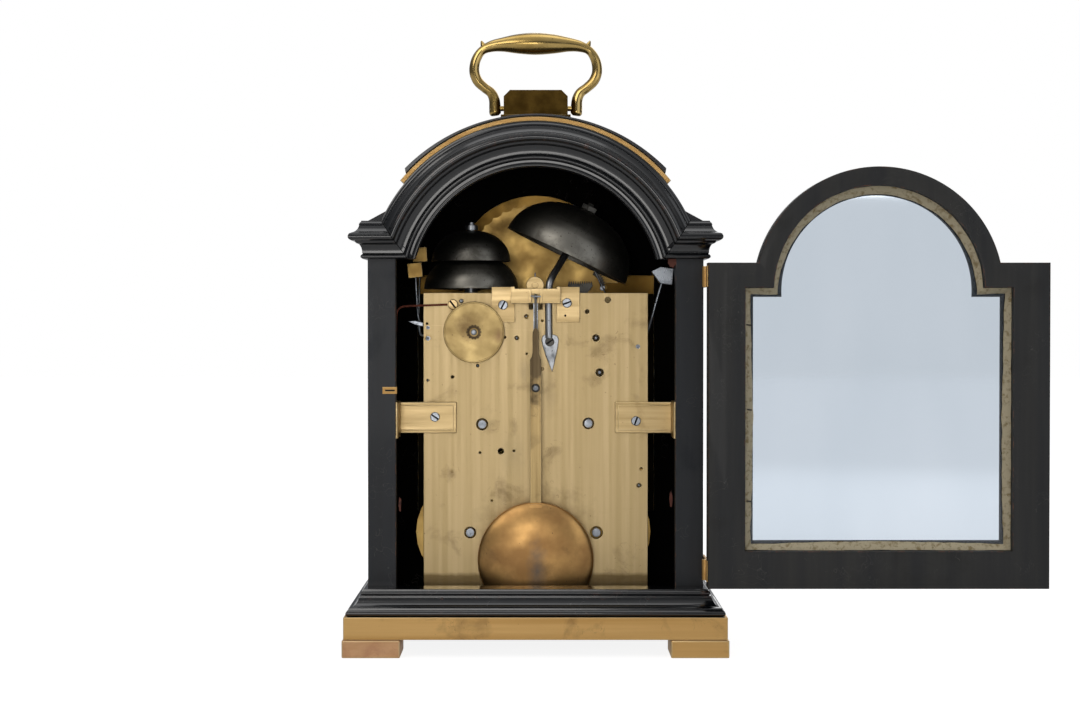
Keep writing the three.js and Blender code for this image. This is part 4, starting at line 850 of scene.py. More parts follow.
def doorOutlines(grow=0.0, inner=0.0):
    d = doorSizes
    outer = archedOutline(d['half'], d['bottom'], d['shoulder'], d['arch'], caseSizes['centre'], grow, 64)
    light = archedOutline(d['half'] - d['stile'], d['bottom'] + d['rail'], d['innerShoulder'],
                          d['arch'] - d['archRail'], caseSizes['centre'], inner, 64)
    return outer, light


def doorRing(outline, depth, turn):  # turn 1: the back door, shown open half a turn; -1: the front door, shut
    d = doorSizes
    if turn > 0:
        return [(2 * d['hinge'][0] - x, d['hinge'][1] + d['thick'] - depth, z) for x, z in outline]
    return [(-x, -d['hinge'][1] + d['thick'] - depth, z) for x, z in outline]


def makeDoor(label, turn, look):
    d = doorSizes
    body = label + '_door'
    soft = 0.6
    plan = [  # which outline, how far it grows, and its depth from the inner face
        (0, 0, soft), (0, -soft * 0.3, soft * 0.3), (0, -soft, 0), (1, soft, 0), (1, soft * 0.3, soft * 0.3),
        (1, 0, soft), (1, 0, d['deep']), (1, -d['rebate'], d['deep']), (1, -d['rebate'], d['thick'] - 1.6),
        (1, -d['rebate'] + 1.6, d['thick']), (0, -soft, d['thick']),
        (0, -soft * 0.3, d['thick'] - soft * 0.3), (0, 0, d['thick'] - soft),
    ]
    rings = [doorRing(doorOutlines(grow, grow)[which], depth, turn) for which, grow, depth in plan]
    frameRing = loftPiece(label + '_door_frame_fine', rings, body, look, label + '_door_frame', closed=True,
                          angle=28)
    layer = frameRing.data.attributes['wear']
    count = len(rings[0])
    for i, slot in enumerate(layer.data):
        slot.value = {0: 0.8, 1: 0.8, 3: 1.0, 4: 1.0, 10: 0.7, 11: 0.7}.get(i // count, 0.0)
    face = d['deep'] - 0.3
    pane = [doorRing(doorOutlines(0, grow)[1], depth, turn) for grow, depth in
            ((-0.6, face), (-0.3, face - 0.3), (-0.3, face - d['glass'] + 0.3), (-0.6, face - d['glass']))]
    loftPiece(label + '_door_pane', pane, body, 'paleGlass', label + '_door_glass', angle=30)
    makePutty(label, turn, body, face - d['glass'])


def along(outline, step):  # more points on an outline's straight stretches
    out = []
    for i, here in enumerate(outline):
        there = outline[(i + 1) % len(outline)]
        parts = max(1, round(math.dist(here, there) / step))
        out += [(here[0] + (there[0] - here[0]) * k / parts, here[1] + (there[1] - here[1]) * k / parts)
                for k in range(parts)]
    return out


def makePutty(label, turn, body, seat):  # a hand-drawn fillet of putty between the rebate and the glass
    wall = along(doorOutlines(0, -0.15)[1], 3.0)
    middle = Vector((0, 140))
    rings = []
    for inward, rise, rough in ((0.0, 0.1, 0), (0.0, 3.4, 0.5), (1.2, 3.3, 0.5), (3.2, 2.3, 0.6),
                                (5.4, 0.9, 0.7), (6.3, 0.1, 0.9)):
        ring = []
        for x, z in wall:
            spot = Vector((x, z))
            uneven = noise.noise(Vector((x * 0.09, z * 0.09, inward))) * rough
            toMiddle = (middle - spot).normalized()
            ring.append((spot + toMiddle * (inward + uneven) * 0.88, seat - rise - uneven * 0.4))
        rings.append([doorRing([tuple(p)], depth, turn)[0] for p, depth in ring])
    loftPiece(label + '_door_putty', rings, body, 'putty', closed=True, angle=50)


makeBase()
makeCarcass()
makeMouldings()
makeTop()
makeHandle()
makeDoor('back', 1, 'doorDark')
makeDoor('front', -1, 'ebonyUpright')
for where in ('bottom', 'top'):
    for label in ('back', 'front'):
        bevelNode(label + '_hinge_' + where, 'bandBrass', 0.25)
print('case: base, carcass, mouldings, top, handle and doors')

# ---- screws, pivots and marks, set out by geometry nodes ----


def placingTree():  # sets a copy of a small part on every point of a mesh, turned by the point's own angle
    tree = bpy.data.node_groups.new('setOut', 'GeometryNodeTree')
    for label, kind in (('Geometry', 'Geometry'), ('Part', 'Object'), ('Finish', 'Material')):
        tree.interface.new_socket(label, in_out='INPUT', socket_type='NodeSocket' + kind)
    tree.interface.new_socket('Geometry', in_out='OUTPUT', socket_type='NodeSocketGeometry')
    given = put(tree, 'NodeGroupInput').outputs
    part = put(tree, 'GeometryNodeObjectInfo', {'Object': given['Part']})
    turn = put(tree, 'GeometryNodeInputNamedAttribute', {'Name': 'turn'}, data_type='FLOAT_VECTOR')
    size = put(tree, 'GeometryNodeInputNamedAttribute', {'Name': 'size'}, data_type='FLOAT')
    angle = put(tree, 'FunctionNodeEulerToRotation', {0: turn.outputs['Attribute']})
    copies = put(tree, 'GeometryNodeInstanceOnPoints', {
        'Points': given['Geometry'], 'Instance': part.outputs['Geometry'], 'Rotation': angle.outputs[0],
        'Scale': size.outputs['Attribute']})
    real = put(tree, 'GeometryNodeRealizeInstances', {'Geometry': copies.outputs[0]})
    painted = put(tree, 'GeometryNodeSetMaterial', {'Geometry': real.outputs[0], 'Material': given['Finish']})
    put(tree, 'NodeGroupOutput', {'Geometry': painted.outputs[0]})
    return tree


setOutTree = placingTree()
patterns = {}


def setOut(name, pattern, spots, body, look, *nodes):
    # spots: place in mm, the angles about X, Y and Z in degrees, and the scale of each copy
    base = bpy.data.meshes.new(name)
    base.from_pydata([Vector(place) * mm for place, _, _ in spots], [], [])
    turns = base.attributes.new('turn', 'FLOAT_VECTOR', 'POINT')
    for i, (_, turn, _) in enumerate(spots):
        turns.data[i].vector = [math.radians(a) for a in turn]
    sizes = base.attributes.new('size', 'FLOAT', 'POINT')  # made only when the turns are filled in
    for i, (_, _, own) in enumerate(spots):
        sizes.data[i].value = own
    holder = bpy.data.objects.new(name + '_spots', base)
    scene.collection.objects.link(holder)
    placing = holder.modifiers.new('setOut', 'NODES')
    placing.node_group = setOutTree
    given = {'Part': patterns[pattern], 'Finish': finishes[look][0]}
    for item in setOutTree.interface.items_tree:
        if item.name in given:
            placing[item.identifier] = given[item.name]
    made = bpy.data.meshes.new_from_object(holder.evaluated_get(bpy.context.evaluated_depsgraph_get()))
    holder.modifiers.remove(placing)
    bpy.data.objects.remove(holder)
    shade(made, 35)
    if 'wear' not in made.attributes:
        markWear(made)
    made.name = name
    return finish(made, name, body, look, *nodes)


def newPattern(name, points, faces):
    patterns[name] = bpy.data.objects.new('pattern_' + name, meshOf('pattern_' + name, points, faces))


def setScrews(name, spots, body, look, *nodes):  # slotted heads, with painted shade in their slots
    setOut(name, 'screw', spots, body, look, *nodes)
    setOut(name + '_slots', 'groove', spots, body, 'hole')


def stackShapes(*shapes):  # several closed shapes in one mesh
    points, faces = [], []
    for some, more in shapes:
        faces += [tuple(i + len(points) for i in face) for face in more]
        points += some
    return points, faces


def turnedShape(profile, steps=24):
    return ringFaces(lathePoints(profile, steps), True)


def thickShape(outline, y0, y1):  # an outline in X and Z made thick, its arrises left plain
    return ringFaces([[(x, y, z) for x, z in outline] for y in (y0, y1)], False)


def landShape(side, slot, low, high, soft, steps=12):  # one half of a slotted head of radius 1
    start = math.degrees(math.asin(slot / 2))
    rings = []
    for r, y in ((1.0, low), (1.0, high - soft), (1.0 - soft, high)):
        points = arcOf(0, 0, r, start, 180 - start, steps)
        rings.append([(x, y, side * max(z, slot / 2)) for x, z in points])
    return ringFaces(rings, False)


def makePatterns():
    base = turnedShape([(0, 0), (0.99, 0), (0.99, 0.3), (0, 0.3)])
    lands = [landShape(side, 0.36, 0.1, 0.62, 0.12) for side in (1, -1)]
    newPattern('screw', *stackShapes(base, *lands))
    newPattern('groove', *thickShape(rect(-0.96, -0.17, 0.96, 0.17), 0.28, 0.4))
    newPattern('pivot', *turnedShape([(0, -2), (1, -2), (1, 0.1), (0.86, 0.4), (0.5, 0.62), (0, 0.7)], 20))
    bush = [(0.62, -0.5), (1, -0.5), (1, 0.06), (0.93, 0.12), (0.7, 0.12), (0.62, 0.05), (0.62, -0.5)]
    newPattern('bush', *turnedShape(bush))
    fretRing = [(0.84, -0.08), (1, -0.08), (1, 0.05), (0.92, 0.09), (0.84, 0.05)]
    newPattern('fretRing', *turnedShape(fretRing, 20))
    newPattern('minuteMark', *thickShape(rect(-0.28, -1.3, 0.28, 1.3), 0, 0.12))


makePatterns()

# ---- movement: plates, cock, brackets and pendulum ----

plateSizes = {'half': 78.0, 'bottom': 22.0, 'top': 232.3, 'back': 24.0, 'thick': 3.0, 'notch': (4.6, 221.0)}
plateHoles = [  # place across and up, radius; the pivots stand in the holes of the second list
    (23.2, 215.6, 0.7), (15.4, 214.9, 0.7), (-4.6, 213.0, 0.8), (21.3, 201.5, 0.8), (6.2, 190.1, 0.7),
    (75.5, 211.0, 0.8), (57.8, 173.9, 1.1), (-35.8, 219.3, 1.5), (-50.2, 227.4, 2.1), (38.7, 121.3, 0.8),
    (24.2, 122.2, 2.1), (15.1, 122.5, 0.8), (-73.4, 110.0, 1.0), (30.5, 87.8, 0.7),
]
platePivots = [
    (74.8, 208.2, 1.45), (74.9, 200.7, 1.75), (40.3, 181.8, 1.4), (74.9, 171.6, 0.95), (-41.9, 201.0, 2.5),
    (-71.1, 195.0, 1.5), (-44.5, 177.0, 2.8), (-71.9, 98.4, 1.6), (6.4, 216.0, 1.5), (13.1, 200.9, 1.5),
]
plateArbors = {  # arbor ends that come through the plate: place, radius of the hole, of the arbor, body
    'going_fusee': (37.2, 141.0, 4.1, 3.35), 'strike_fusee': (-36.6, 141.6, 3.9, 3.35),
    'going_barrel': (45.6, 65.6, 4.0, 3.35), 'strike_barrel': (-42.2, 65.6, 4.4, 3.35),
}
platePillars = [(66, 222), (-66, 222), (73, 106), (-73, 106), (72, 28), (-72, 28)]


def facing(places, y, share):  # spots that face the back, from places across and up with a radius
    return [((x, y, z), (0, 0, 0), r * share) for x, z, r in places]


def makeBackPlate():
    p = plateSizes
    wide, low = p['notch']
    outline = [(-p['half'], p['bottom']), (p['half'], p['bottom']), (p['half'], p['top']), (wide, p['top']),
               (wide, low), (-wide, low), (-wide, p['top']), (-p['half'], p['top'])]
    holes = [circle(x, z, r, 20) for x, z, r in plateHoles + platePivots]
    holes += [circle(x, z, r, 32) for x, z, r, _ in plateArbors.values()]
    face, inside = p['back'], p['back'] - p['thick']
    cutShape('back_plate_fine', [outline, *holes], inside, face, 'root', 'plateBrass', 'back_plate',
             bevel=0.3)
    profile = [(0, -38.7), (4, -38.7), (4, -37), (3.4, -36), (3, -33), (3.4, -14), (4.3, -10.5), (4.6, -9),
               (4.3, -7.5), (3.4, -4), (3, 15), (3.4, 18), (4, 19), (4, inside - 0.2), (0, inside - 0.2)]
    for i, (x, z) in enumerate(platePillars):
        turnPiece('pillar_%d' % (i + 1), (x, 0, z), profile, 'root', 'trainBrass', 'back_plate', steps=28)
    setOut('plate_pivots', 'pivot', facing(platePivots, face - 0.5, 0.52), 'root', 'steel')
    setOut('plate_bushes', 'bush', facing(platePivots[:3], face - 0.02, 1.5), 'root', 'cockBrass')
    pegs = [((-4.6, face + 0.2, 179.5), (0, 0, 0), 1.3), ((58.3, face - 1.3, 108.4), (0, 0, 0), 2.1)]
    setOut('plate_pegs', 'pivot', pegs, 'root', 'cockBrass')
    for name, (x, z, _, r) in plateArbors.items():
        end = [(0, 22), (r, 22), (r, face + 0.7), (r - 0.6, face + 1.3), (0, face + 1.4)]
        turnPiece(name + '_end', (x, 0, z), end, name, 'steel', steps=32)
    bevelNode('front_plate', 'plateBrass', 0.3)


cockSizes = {
    'foot': 27.3, 'bridge': 38.0, 'screws': [(22.6, 223.9, 3.3, 62), (-21.7, 225.3, 3.3, 20)],
    'disc': (0.4, 30.4, 237.4, 6.2),
}
bracketSizes = {'face': 27.3, 'screws': [(69.8, 146.3, 3.3, -35), (-69.5, 143.5, 3.3, 70)]}


def makeCock():
    c, face = cockSizes, bracketSizes['face']
    bevelNode('back_cock', 'cockBrass', 0.4)
    for label in ('left', 'right'):
        bevelNode('movement_bracket_' + label, 'cockBrass', 0.5, segments=2)
        low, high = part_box('movement_bracket_' + label)
        left, right = (min(abs(low[0]), abs(high[0])) / mm, max(abs(low[0]), abs(high[0])) / mm)
        side = 1 if low[0] > 0 else -1
        panel = rect(side * (left + 2.0), 137.0, side * (right - 2.6), 154.6)
        cutShape('bracket_panel_' + label, [panel], face - 0.5, face + 0.45, 'root', 'cockBrass', bevel=0.42)
    spots = [((x, c['foot'] - 0.1, z), (0, turn, 0), r) for x, z, r, turn in c['screws']]
    spots += [((x, face + 0.35, z), (0, turn, 0), r) for x, z, r, turn in bracketSizes['screws']]
    setScrews('cock_and_bracket_screws', spots, 'root', 'steel')
    # painted shade: a dark pivot shape in the cock's pin hole
    setOut('cock_pin_hole', 'pivot', [((-20.5, c['foot'] - 0.3, 216.5), (0, 0, 0), 0.9)], 'root', 'hole')
    x, y, z, r = c['disc']
    profile = [(0, -1.1), (r - 0.4, -1.1), (r, -0.7), (r, 0.8), (r - 0.4, 1.1), (2.2, 1.1), (2.0, 1.7),
               (0, 1.7)]
    turnPiece('rating_nut', (x, y, z), profile, 'root', 'cockBrass', steps=60)
    rodPiece('rating_nut_pin', [(x, y, z + r - 1), (x, y, z + r + 1), (x, y, z + r + 2.6)], (0.55, 0.5, 0.3),
             'root', 'steel', sides=12, steps=3)
    for side, label in ((1, 'left'), (-1, 'right')):
        cheek = rect(side * -4.9, 225.6, side * -2.9, 234.6)
        cutShape('suspension_cheek_' + label, [cheek], c['bridge'] - 0.6, c['bridge'] + 0.9, 'root',
                 'cockBrass', bevel=0.25)
    rodPiece('suspension_pin', [(-3.6, 39.2, 229.6), (0, 39.2, 229.8), (3.6, 39.2, 230)], (0.55, 0.55, 0.4),
             'root', 'steel', sides=12, steps=4)


pendulumSizes = {
    'plane': 36.0, 'rod': 3.85, 'neck': 2.1, 'strip': 0.9, 'thick': 2.4, 'bottom': 73.7, 'shoulder': 186.0,
    'neckTop': 207.0, 'top': 231.0, 'bob': 47.7, 'bobRadius': 40.0, 'bobThick': 17.0, 'pin': 166.6,
}


def makePendulum():
    p = pendulumSizes
    y, half = p['plane'], p['thick'] / 2
    right = [(p['rod'], p['bottom']), (p['rod'], p['shoulder']), (p['neck'] + 0.6, p['shoulder'] + 2.2),
             (p['neck'], p['shoulder'] + 5), (p['neck'], p['neckTop'] - 2), (p['strip'], p['neckTop'] + 1)]
    outline = [(-x, z) for x, z in right[:1]] + right + [(-x, z) for x, z in reversed(right[1:])]
    eye = circle(0, p['pin'], 2.1, 20)
    cutShape('pendulum_rod_fine', [outline, eye], y - half, y + half, 'pendulum', 'rodBrass', 'pendulum_rod',
             bevel=0.3)
    strip = rect(-p['strip'], p['neckTop'], p['strip'], p['top'])
    cutShape('suspension_strip', [strip], y - 0.4, y + 0.4, 'pendulum', 'darkSteel', bevel=0.1)
    ring = [(1.75, -0.4), (3.0, -0.4), (3.0, 0.5), (2.7, 0.8), (1.75, 0.8), (1.75, -0.4)]
    turnPiece('crutch_eye', (0, y + half, p['pin']), ring, 'pendulum', 'darkSteel', steps=28)
    r, t = p['bobRadius'], p['bobThick'] / 2
    dome = [(r * math.sin(a), t * (0.1 + 0.9 * math.cos(a) ** 1.15)) for a in
            (math.radians(90 * i / 26) for i in range(27))]
    dome[-1] = (r, t * 0.1)
    rim = [(r - 0.9, t * 0.17), (r - 0.35, t * 0.2), (r, t * 0.1)]
    front = dome[:-2] + rim
    profile = front + [(x, -y) for x, y in reversed(front)]
    turnPiece('pendulum_bob_fine', (0, p['plane'], p['bob']), profile, 'pendulum', 'bobBrass', 'pendulum_bob',
              steps=112, angle=40)
    rings = [[(x, p['plane'] + out * 0.9, z) for x, out in rect(-4.3, -4.1, 4.3, 4.1)] for z in (84.2, 86.4)]
    loftPiece('bob_ferrule', rings, 'pendulum', 'bobBrass', angle=30, wear=0.3)


# ---- pull repeat ----

repeatSizes = {
    'pulley': (42.8, 205.0), 'radius': 21.1, 'seat': 27.6, 'face': 30.4, 'roller': (57.4, 224.2, 3.6),
    'cordPlane': 25.95, 'cord': 0.8, 'strands': 3, 'lay': 4.6, 'wall': 104.2,
}


def makeRepeat():
    s = repeatSizes
    (x, z), r, low, top = s['pulley'], s['radius'], s['seat'], s['face']
    profile = [(0, low), (r - 0.7, low), (r, low + 0.5), (r, top - 0.5), (r - 0.35, top), (r - 0.9, top),
               (r - 1.3, top - 0.28), (5.2, top - 0.28), (4.9, top - 0.05), (3.1, top), (2.9, top + 0.3),
               (0, top + 0.3)]
    turnPiece('repeat_pulley_fine', (x, 0, z), profile, 'repeat_pulley', 'pulleyBrass', 'repeat_pulley',
              steps=112)
    hub = [(0, 21), (3.1, 21), (3.1, 24.6), (4.4, 24.6), (4.4, low - 0.1), (0, low - 0.1)]
    turnPiece('repeat_pulley_hub', (x, 0, z), hub, 'repeat_pulley', 'trainBrass', 'repeat_pulley', steps=32)
    end = [(0, top), (2.1, top), (2.1, top + 1.2), (1.6, top + 1.8), (0, top + 2)]
    turnPiece('repeat_pulley_end', (x, 0, z), end, 'repeat_pulley', 'steel', 'repeat_pulley', steps=28)
    star = []
    for i in range(28):
        a, reach = 2 * math.pi * i / 28, (5.4, 4.5)[i % 2] + 0.35 * noise.noise(Vector((i * 0.7, 0, 0)))
        star.append((x + reach * math.cos(a), z + reach * math.sin(a)))
    cutShape('repeat_pulley_star', [star], top - 0.3, top + 0.12, 'repeat_pulley', 'rodBrass', bevel=0.08)
    rx, rz, rr = s['roller']
    setScrews('repeat_roller_head', [((rx, 25.6, rz), (0, -52, 0), rr * 0.97)], 'repeat_roller', 'cockBrass',
              'repeat_roller')
    core = [(0, 20.6), (1, 20.6), (1, 24.6), (rr, 24.6), (rr, 25), (rr - 0.5, 25.3), (rr - 0.5, 26), (0, 26)]
    turnPiece('repeat_roller_core', (rx, 0, rz), core, 'repeat_roller', 'cockBrass', 'repeat_roller',
              steps=32)
    setOut('repeat_stop_pin', 'pivot', [((51.6, 26.4, 226.6), (0, 0, 0), 1.5)], 'root', 'steel')
    makeCord(rx, rz, rr)
    lever = [(78.3, 211.6), (83.6, 213.0), (89.2, 212.6), (83.4, 210.0), (78.3, 209.0)]
    cutShape('repeat_lever', [lever], 18.0, 20.4, 'root', 'steel', bevel=0.3)


def across(side, turn, reach):  # a step away from a level route, to its side or its back
    return (side * math.cos(turn) + Vector((0, 1, 0)) * math.sin(turn)) * reach


def makeCord(rx, rz, rr):  # three strands laid round the route that the CAD cord follows
    s = repeatSizes
    y, w = s['cordPlane'], s['wall']
    route = [(rx + rr + 0.3, y, rz), (rx + 12, y, rz - 0.3), (w - 20.2, y, rz - 0.9), (w - 11.6, y, rz - 1.6),
             (w - 8, y, rz - 5), (w - 7.3, y, rz - 12.2), (w - 7.1, y, rz - 19.8), (w - 6, y, rz - 23.4),
             (w - 3.2, y, rz - 24.7), (w - 0.3, y, rz - 25)]
    path = smoothRoute(route, 24)
    shapes, run = [], [0.0]
    for a, b in zip(path, path[1:]):
        run.append(run[-1] + (b - a).length)
    for strand in range(s['strands']):
        rings = []
        for i, (spot, ahead) in enumerate(zip(path, headings(path))):
            side = ahead.cross(Vector((0, 1, 0))).normalized()
            turn = 2 * math.pi * (run[i] / s['lay'] + strand / s['strands'])
            middle = spot + across(side, turn, s['cord'] * 0.48)
            rings.append([tuple(middle + across(side, 2 * math.pi * k / 8, s['cord'] * 0.5))
                          for k in range(8)])
        shapes.append(ringFaces(rings, False))
    makePiece('repeat_cord_fine', *stackShapes(*shapes), 'root', 'cordRed', 'repeat_cord', angle=70)


makeBackPlate()
makeCock()
makePendulum()
makeRepeat()
print('movement: plates, cock, pendulum and pull repeat')

# ---- bells, their stands and the hammers ----

bellSizes = {
    'wall': 1.8, 'hole': 2.8, 'power': 0.85,
    'hour': {'radius': 46.0, 'height': 35.0, 'tilt': 25.7, 'rim': (-21.6, 0.0, 258.5)},
    'quarterLarge': {'radius': 33.3, 'height': 24.0, 'tilt': 0.0, 'rim': (45.7, -6.0, 235.4)},
    'quarterSmall': {'radius': 27.8, 'height': 22.0, 'tilt': 0.0, 'rim': (45.7, -6.0, 254.8)},
}


def bellAxis(bell):
    tilt = math.radians(bell['tilt'])
    return Vector((-math.sin(tilt), 0, math.cos(tilt)))


def onBellAxis(bell, along):
    return Vector(bell['rim']) + bellAxis(bell) * along


def leanTo(axis):
    return Vector((0, 1, 0)).rotation_difference(axis).to_matrix().to_4x4()


def bellOutline(radius, height, steps=30):
    stop = math.acos((bellSizes['hole'] / radius) ** (1 / bellSizes['power']))
    angles = [stop * i / steps for i in range(steps + 1)]
    return [(radius * math.cos(a) ** bellSizes['power'], height * math.sin(a)) for a in angles]


def makeBell(name, label):
    bell = bellSizes[label]
    wall = bellSizes['wall']
    outer = bellOutline(bell['radius'], bell['height'])
    turned = [(r - 0.12 if i % 7 == 3 else r, y) for i, (r, y) in enumerate(outer)]
    inner = bellOutline(bell['radius'] - wall, bell['height'] - wall)
    lip = [(bell['radius'] - wall, 0.25), (bell['radius'] - wall + 0.5, 0), (bell['radius'] - 0.5, 0),
           (bell['radius'], 0.3)]
    profile = lip + turned[1:] + inner[:0:-1]
    turnPiece(name + '_fine', bell['rim'], profile, 'root', 'bellMetal', name, steps=96, angle=40,
              lean=leanTo(bellAxis(bell)))


def makeHourStand():
    bell = bellSizes['hour']
    foot = [(-11.4, 177.5), (-9.0, 183.4), (-6.8, 189), (-4.9, 195), (-4.0, 199.6), (-4.6, 202.2),
            (-6.4, 203.4), (-12.6, 203.4), (-15.0, 202.4), (-16.0, 199.8), (-15.4, 195), (-14.2, 189),
            (-12.6, 182)]
    cutShape('hour_stand_foot', [foot], 24.3, 26.9, 'root', 'stainedSteel', 'hour_bell_stand', bevel=0.5)
    bend = onBellAxis(bell, 4) + Vector((1.4, 8, -1))
    route = [(-9.2, 26.8, 201), (-9, 26.8, 215), (-9, 26.8, 232), (-10.4, 24.8, 241), (-16.5, 14.8, 252),
             bend, *[onBellAxis(bell, along) for along in (10, 22, 34.6)]]
    rodPiece('hour_stand_rod', route, [2.5] * 9, 'root', 'stainedSteel', 'hour_bell_stand', sides=24, steps=7)
    setScrews('hour_stand_screw', [((-9.7, 26.8, 198.4), (0, 35, 0), 3.2)], 'root', 'darkSteel')
    lean = leanTo(bellAxis(bell))
    nut = [(0, 0.2), (5.6, 0.2), (6, 0.6), (6, 3.6), (5.6, 4), (3, 4.1), (2.6, 4.5), (2.2, 5.8), (0, 6)]
    turnPiece('hour_bell_nut', onBellAxis(bell, bell['height']), nut, 'root', 'silvered', 'hour_bell_stand',
              steps=6, angle=25, lean=lean)


def makeQuarterStand():
    large, small = bellSizes['quarterLarge'], bellSizes['quarterSmall']
    x, y, _ = large['rim']
    foot = rect(x - 8, 218.4, x + 8, 231.4)
    cutShape('quarter_stand_foot', [foot], -38.7, -36.2, 'root', 'stainedSteel', 'quarter_bell_stand',
             bevel=0.4)
    arm = rect(x - 3, 224.4, x + 3, 230.4)
    cutShape('quarter_stand_arm', [arm], -37, y + 3, 'root', 'stainedSteel', 'quarter_bell_stand')
    crowns = [large['rim'][2] + large['height'], small['rim'][2] + small['height']]
    profile = [(0, 227), (2.5, 227), (4.5, 228), (4.5, crowns[0] - 2.1), (2.5, crowns[0] - 2.1),
               (2.5, crowns[0] + 0.3), (4.5, crowns[0] + 0.3), (4.5, crowns[1] - 2.1), (2.5, crowns[1] - 2.1),
               (2.5, crowns[1] + 0.3), (4.8, crowns[1] + 0.3), (4.8, crowns[1] + 3.4), (4.3, crowns[1] + 3.9),
               (2.3, crowns[1] + 4), (2.2, crowns[1] + 5.6), (0, crowns[1] + 6)]
    turnPiece('quarter_stand_post', (x, y, 0), profile, 'root', 'stainedSteel', 'quarter_bell_stand',
              steps=28, lean=leanTo(Vector((0, 0, 1))))


hammerSizes = {
    'hour': {'pivot': (-71.1, 195.0), 'wire': 1.1, 'plane': 0.0,
             'wedge': [(-81.4, 247.6), (-88, 251), (-97, 249.6), (-96, 238), (-87.4, 239.4)],
             'route': [(-71.1, 195), (-75.6, 199), (-79.6, 207.4), (-84.4, 224), (-89.6, 242)]},
    'quarter': [
        {'pivot': (74.8, 208.2), 'head': (85.3, 248.6), 'plane': -6.0, 'turn': 6},
        {'pivot': (74.9, 200.7), 'head': (82.6, 260.0), 'plane': -20.0, 'turn': 3},
    ],
    'cube': 10.4, 'arbor': 1.6, 'quarterWire': 0.8,
}


def hammerArbor(name, pivot, body):
    s = hammerSizes
    profile = [(0, -38.8), (s['arbor'], -38.8), (s['arbor'], 20.8), (0, 20.8)]
    turnPiece(name + '_arbor', (pivot[0], 0, pivot[1]), profile, body, 'steel', name, steps=24)


def makeHammers():
    s = hammerSizes
    hour = s['hour']
    hammerArbor('hour_hammer', hour['pivot'], 'hour_hammer')
    route = [(x, hour['plane'], z) for x, z in hour['route']]
    rodPiece('hour_hammer_wire', route, [hour['wire']] * 5, 'hour_hammer', 'steel', 'hour_hammer', sides=16)
    cutShape('hour_hammer_head', [hour['wedge']], hour['plane'] - 5, hour['plane'] + 5, 'hour_hammer',
             'steel', 'hour_hammer', bevel=0.35)
    for i, one in enumerate(s['quarter']):
        name = 'quarter_hammer_%d' % (i + 1)
        (px, pz), (hx, hz), y = one['pivot'], one['head'], one['plane']
        hammerArbor(name, one['pivot'], name)
        route = [(px, y, pz), (px + 4, y, pz + 1.6), (px + 8.4, y, pz + 8), (hx, y, hz)]
        rodPiece(name + '_wire', route, [s['quarterWire']] * 4, name, 'steel', name, sides=12)
        half, turn = s['cube'] / 2, math.radians(one['turn'])
        turned = [(hx + a * math.cos(turn) + b * math.sin(turn), hz - a * math.sin(turn) + b * math.cos(turn))
                  for a, b in rect(-half, -half, half, half)]
        cutShape(name + '_head', [turned], y - half, y + half, name, 'trainBrass', name, bevel=0.4)


def toothed(centre, inner, outer, start, end, teeth):
    step = (end - start) / teeth
    points = []
    for i in range(teeth):
        a = start + step * i
        points += [arcOf(*centre, inner, a, a, 1)[0], arcOf(*centre, outer, a + step * 0.35, a, 1)[0],
                   arcOf(*centre, outer, a + step * 0.55, a, 1)[0]]
    return points


def makeTopWork():  # what shows over the front plate's top edge: rack, ratchet, wire and block
    teeth = []
    for i in range(11):
        x = -23.5 - 1.6 * i
        teeth += [(x, 239.4), (x - 0.5, 241.6), (x - 0.9, 241.6), (x - 1.5, 239.4)]
    rack = [(-41.5, 238.4), (-38, 234), (-36, 227), (-30, 227), (-27, 234), (-23, 238.4)]
    cutShape('strike_rack', [teeth + rack], -47.6, -46.2, 'root', 'darkSteel', bevel=0.12)
    sector = toothed((-36.2, 237.2), 13.0, 14.6, 118, 190, 10)
    sector += arcOf(-36.2, 237.2, 10.4, 190, 118, 12)
    cutShape('ratchet_sector', [sector], -45.6, -44.2, 'root', 'darkSteel', bevel=0.12)
    for i, (x, z) in enumerate([(-33, 230), (-48.2, 236.5)]):
        stud = [(0, -48), (1.6, -48), (1.6, -41), (0, -41)]
        turnPiece('rack_stud_%d' % (i + 1), (x, 0, z), stud, 'root', 'steel', steps=20)
    wire = [(-42.1, -38.2, 249.7), (-46, -38.2, 241.6), (-50, -38.2, 233), (-50.4, -38.4, 231)]
    rodPiece('detent_wire', wire, [0.45] * 4, 'root', 'steel', sides=10)
    cutShape('dial_arch_block', [rect(-59.4, 240.3, -47.9, 246.1)], -52.1, -47.5, 'root', 'trainBrass',
             bevel=0.3)


makeBell('hour_bell', 'hour')
makeBell('quarter_bell_large', 'quarterLarge')
makeBell('quarter_bell_small', 'quarterSmall')
makeHourStand()
makeQuarterStand()
makeHammers()
makeTopWork()
print('bells: three bells, two stands, three hammers and the work over the plates')

# ---- dial and hands: the front isn't in the photo, so all of this is a guess ----

dialSizes = {
    'centre': 160.0, 'arch': 245.0, 'face': -54.0, 'ring': (54.0, 78.0, -55.5, -54.3), 'numeral': (62.8, 9.6),
    'marks': 75.4, 'quarters': 56.4, 'archRing': (13.0, 22.0, -55.2, -54.0), 'archRise': 19.0,
    'winding': [(37.2, 141.0), (-36.6, 141.6)],
}
numerals = ['XII', 'I', 'II', 'III', 'IIII', 'V', 'VI', 'VII', 'VIII', 'IX', 'X', 'XI']


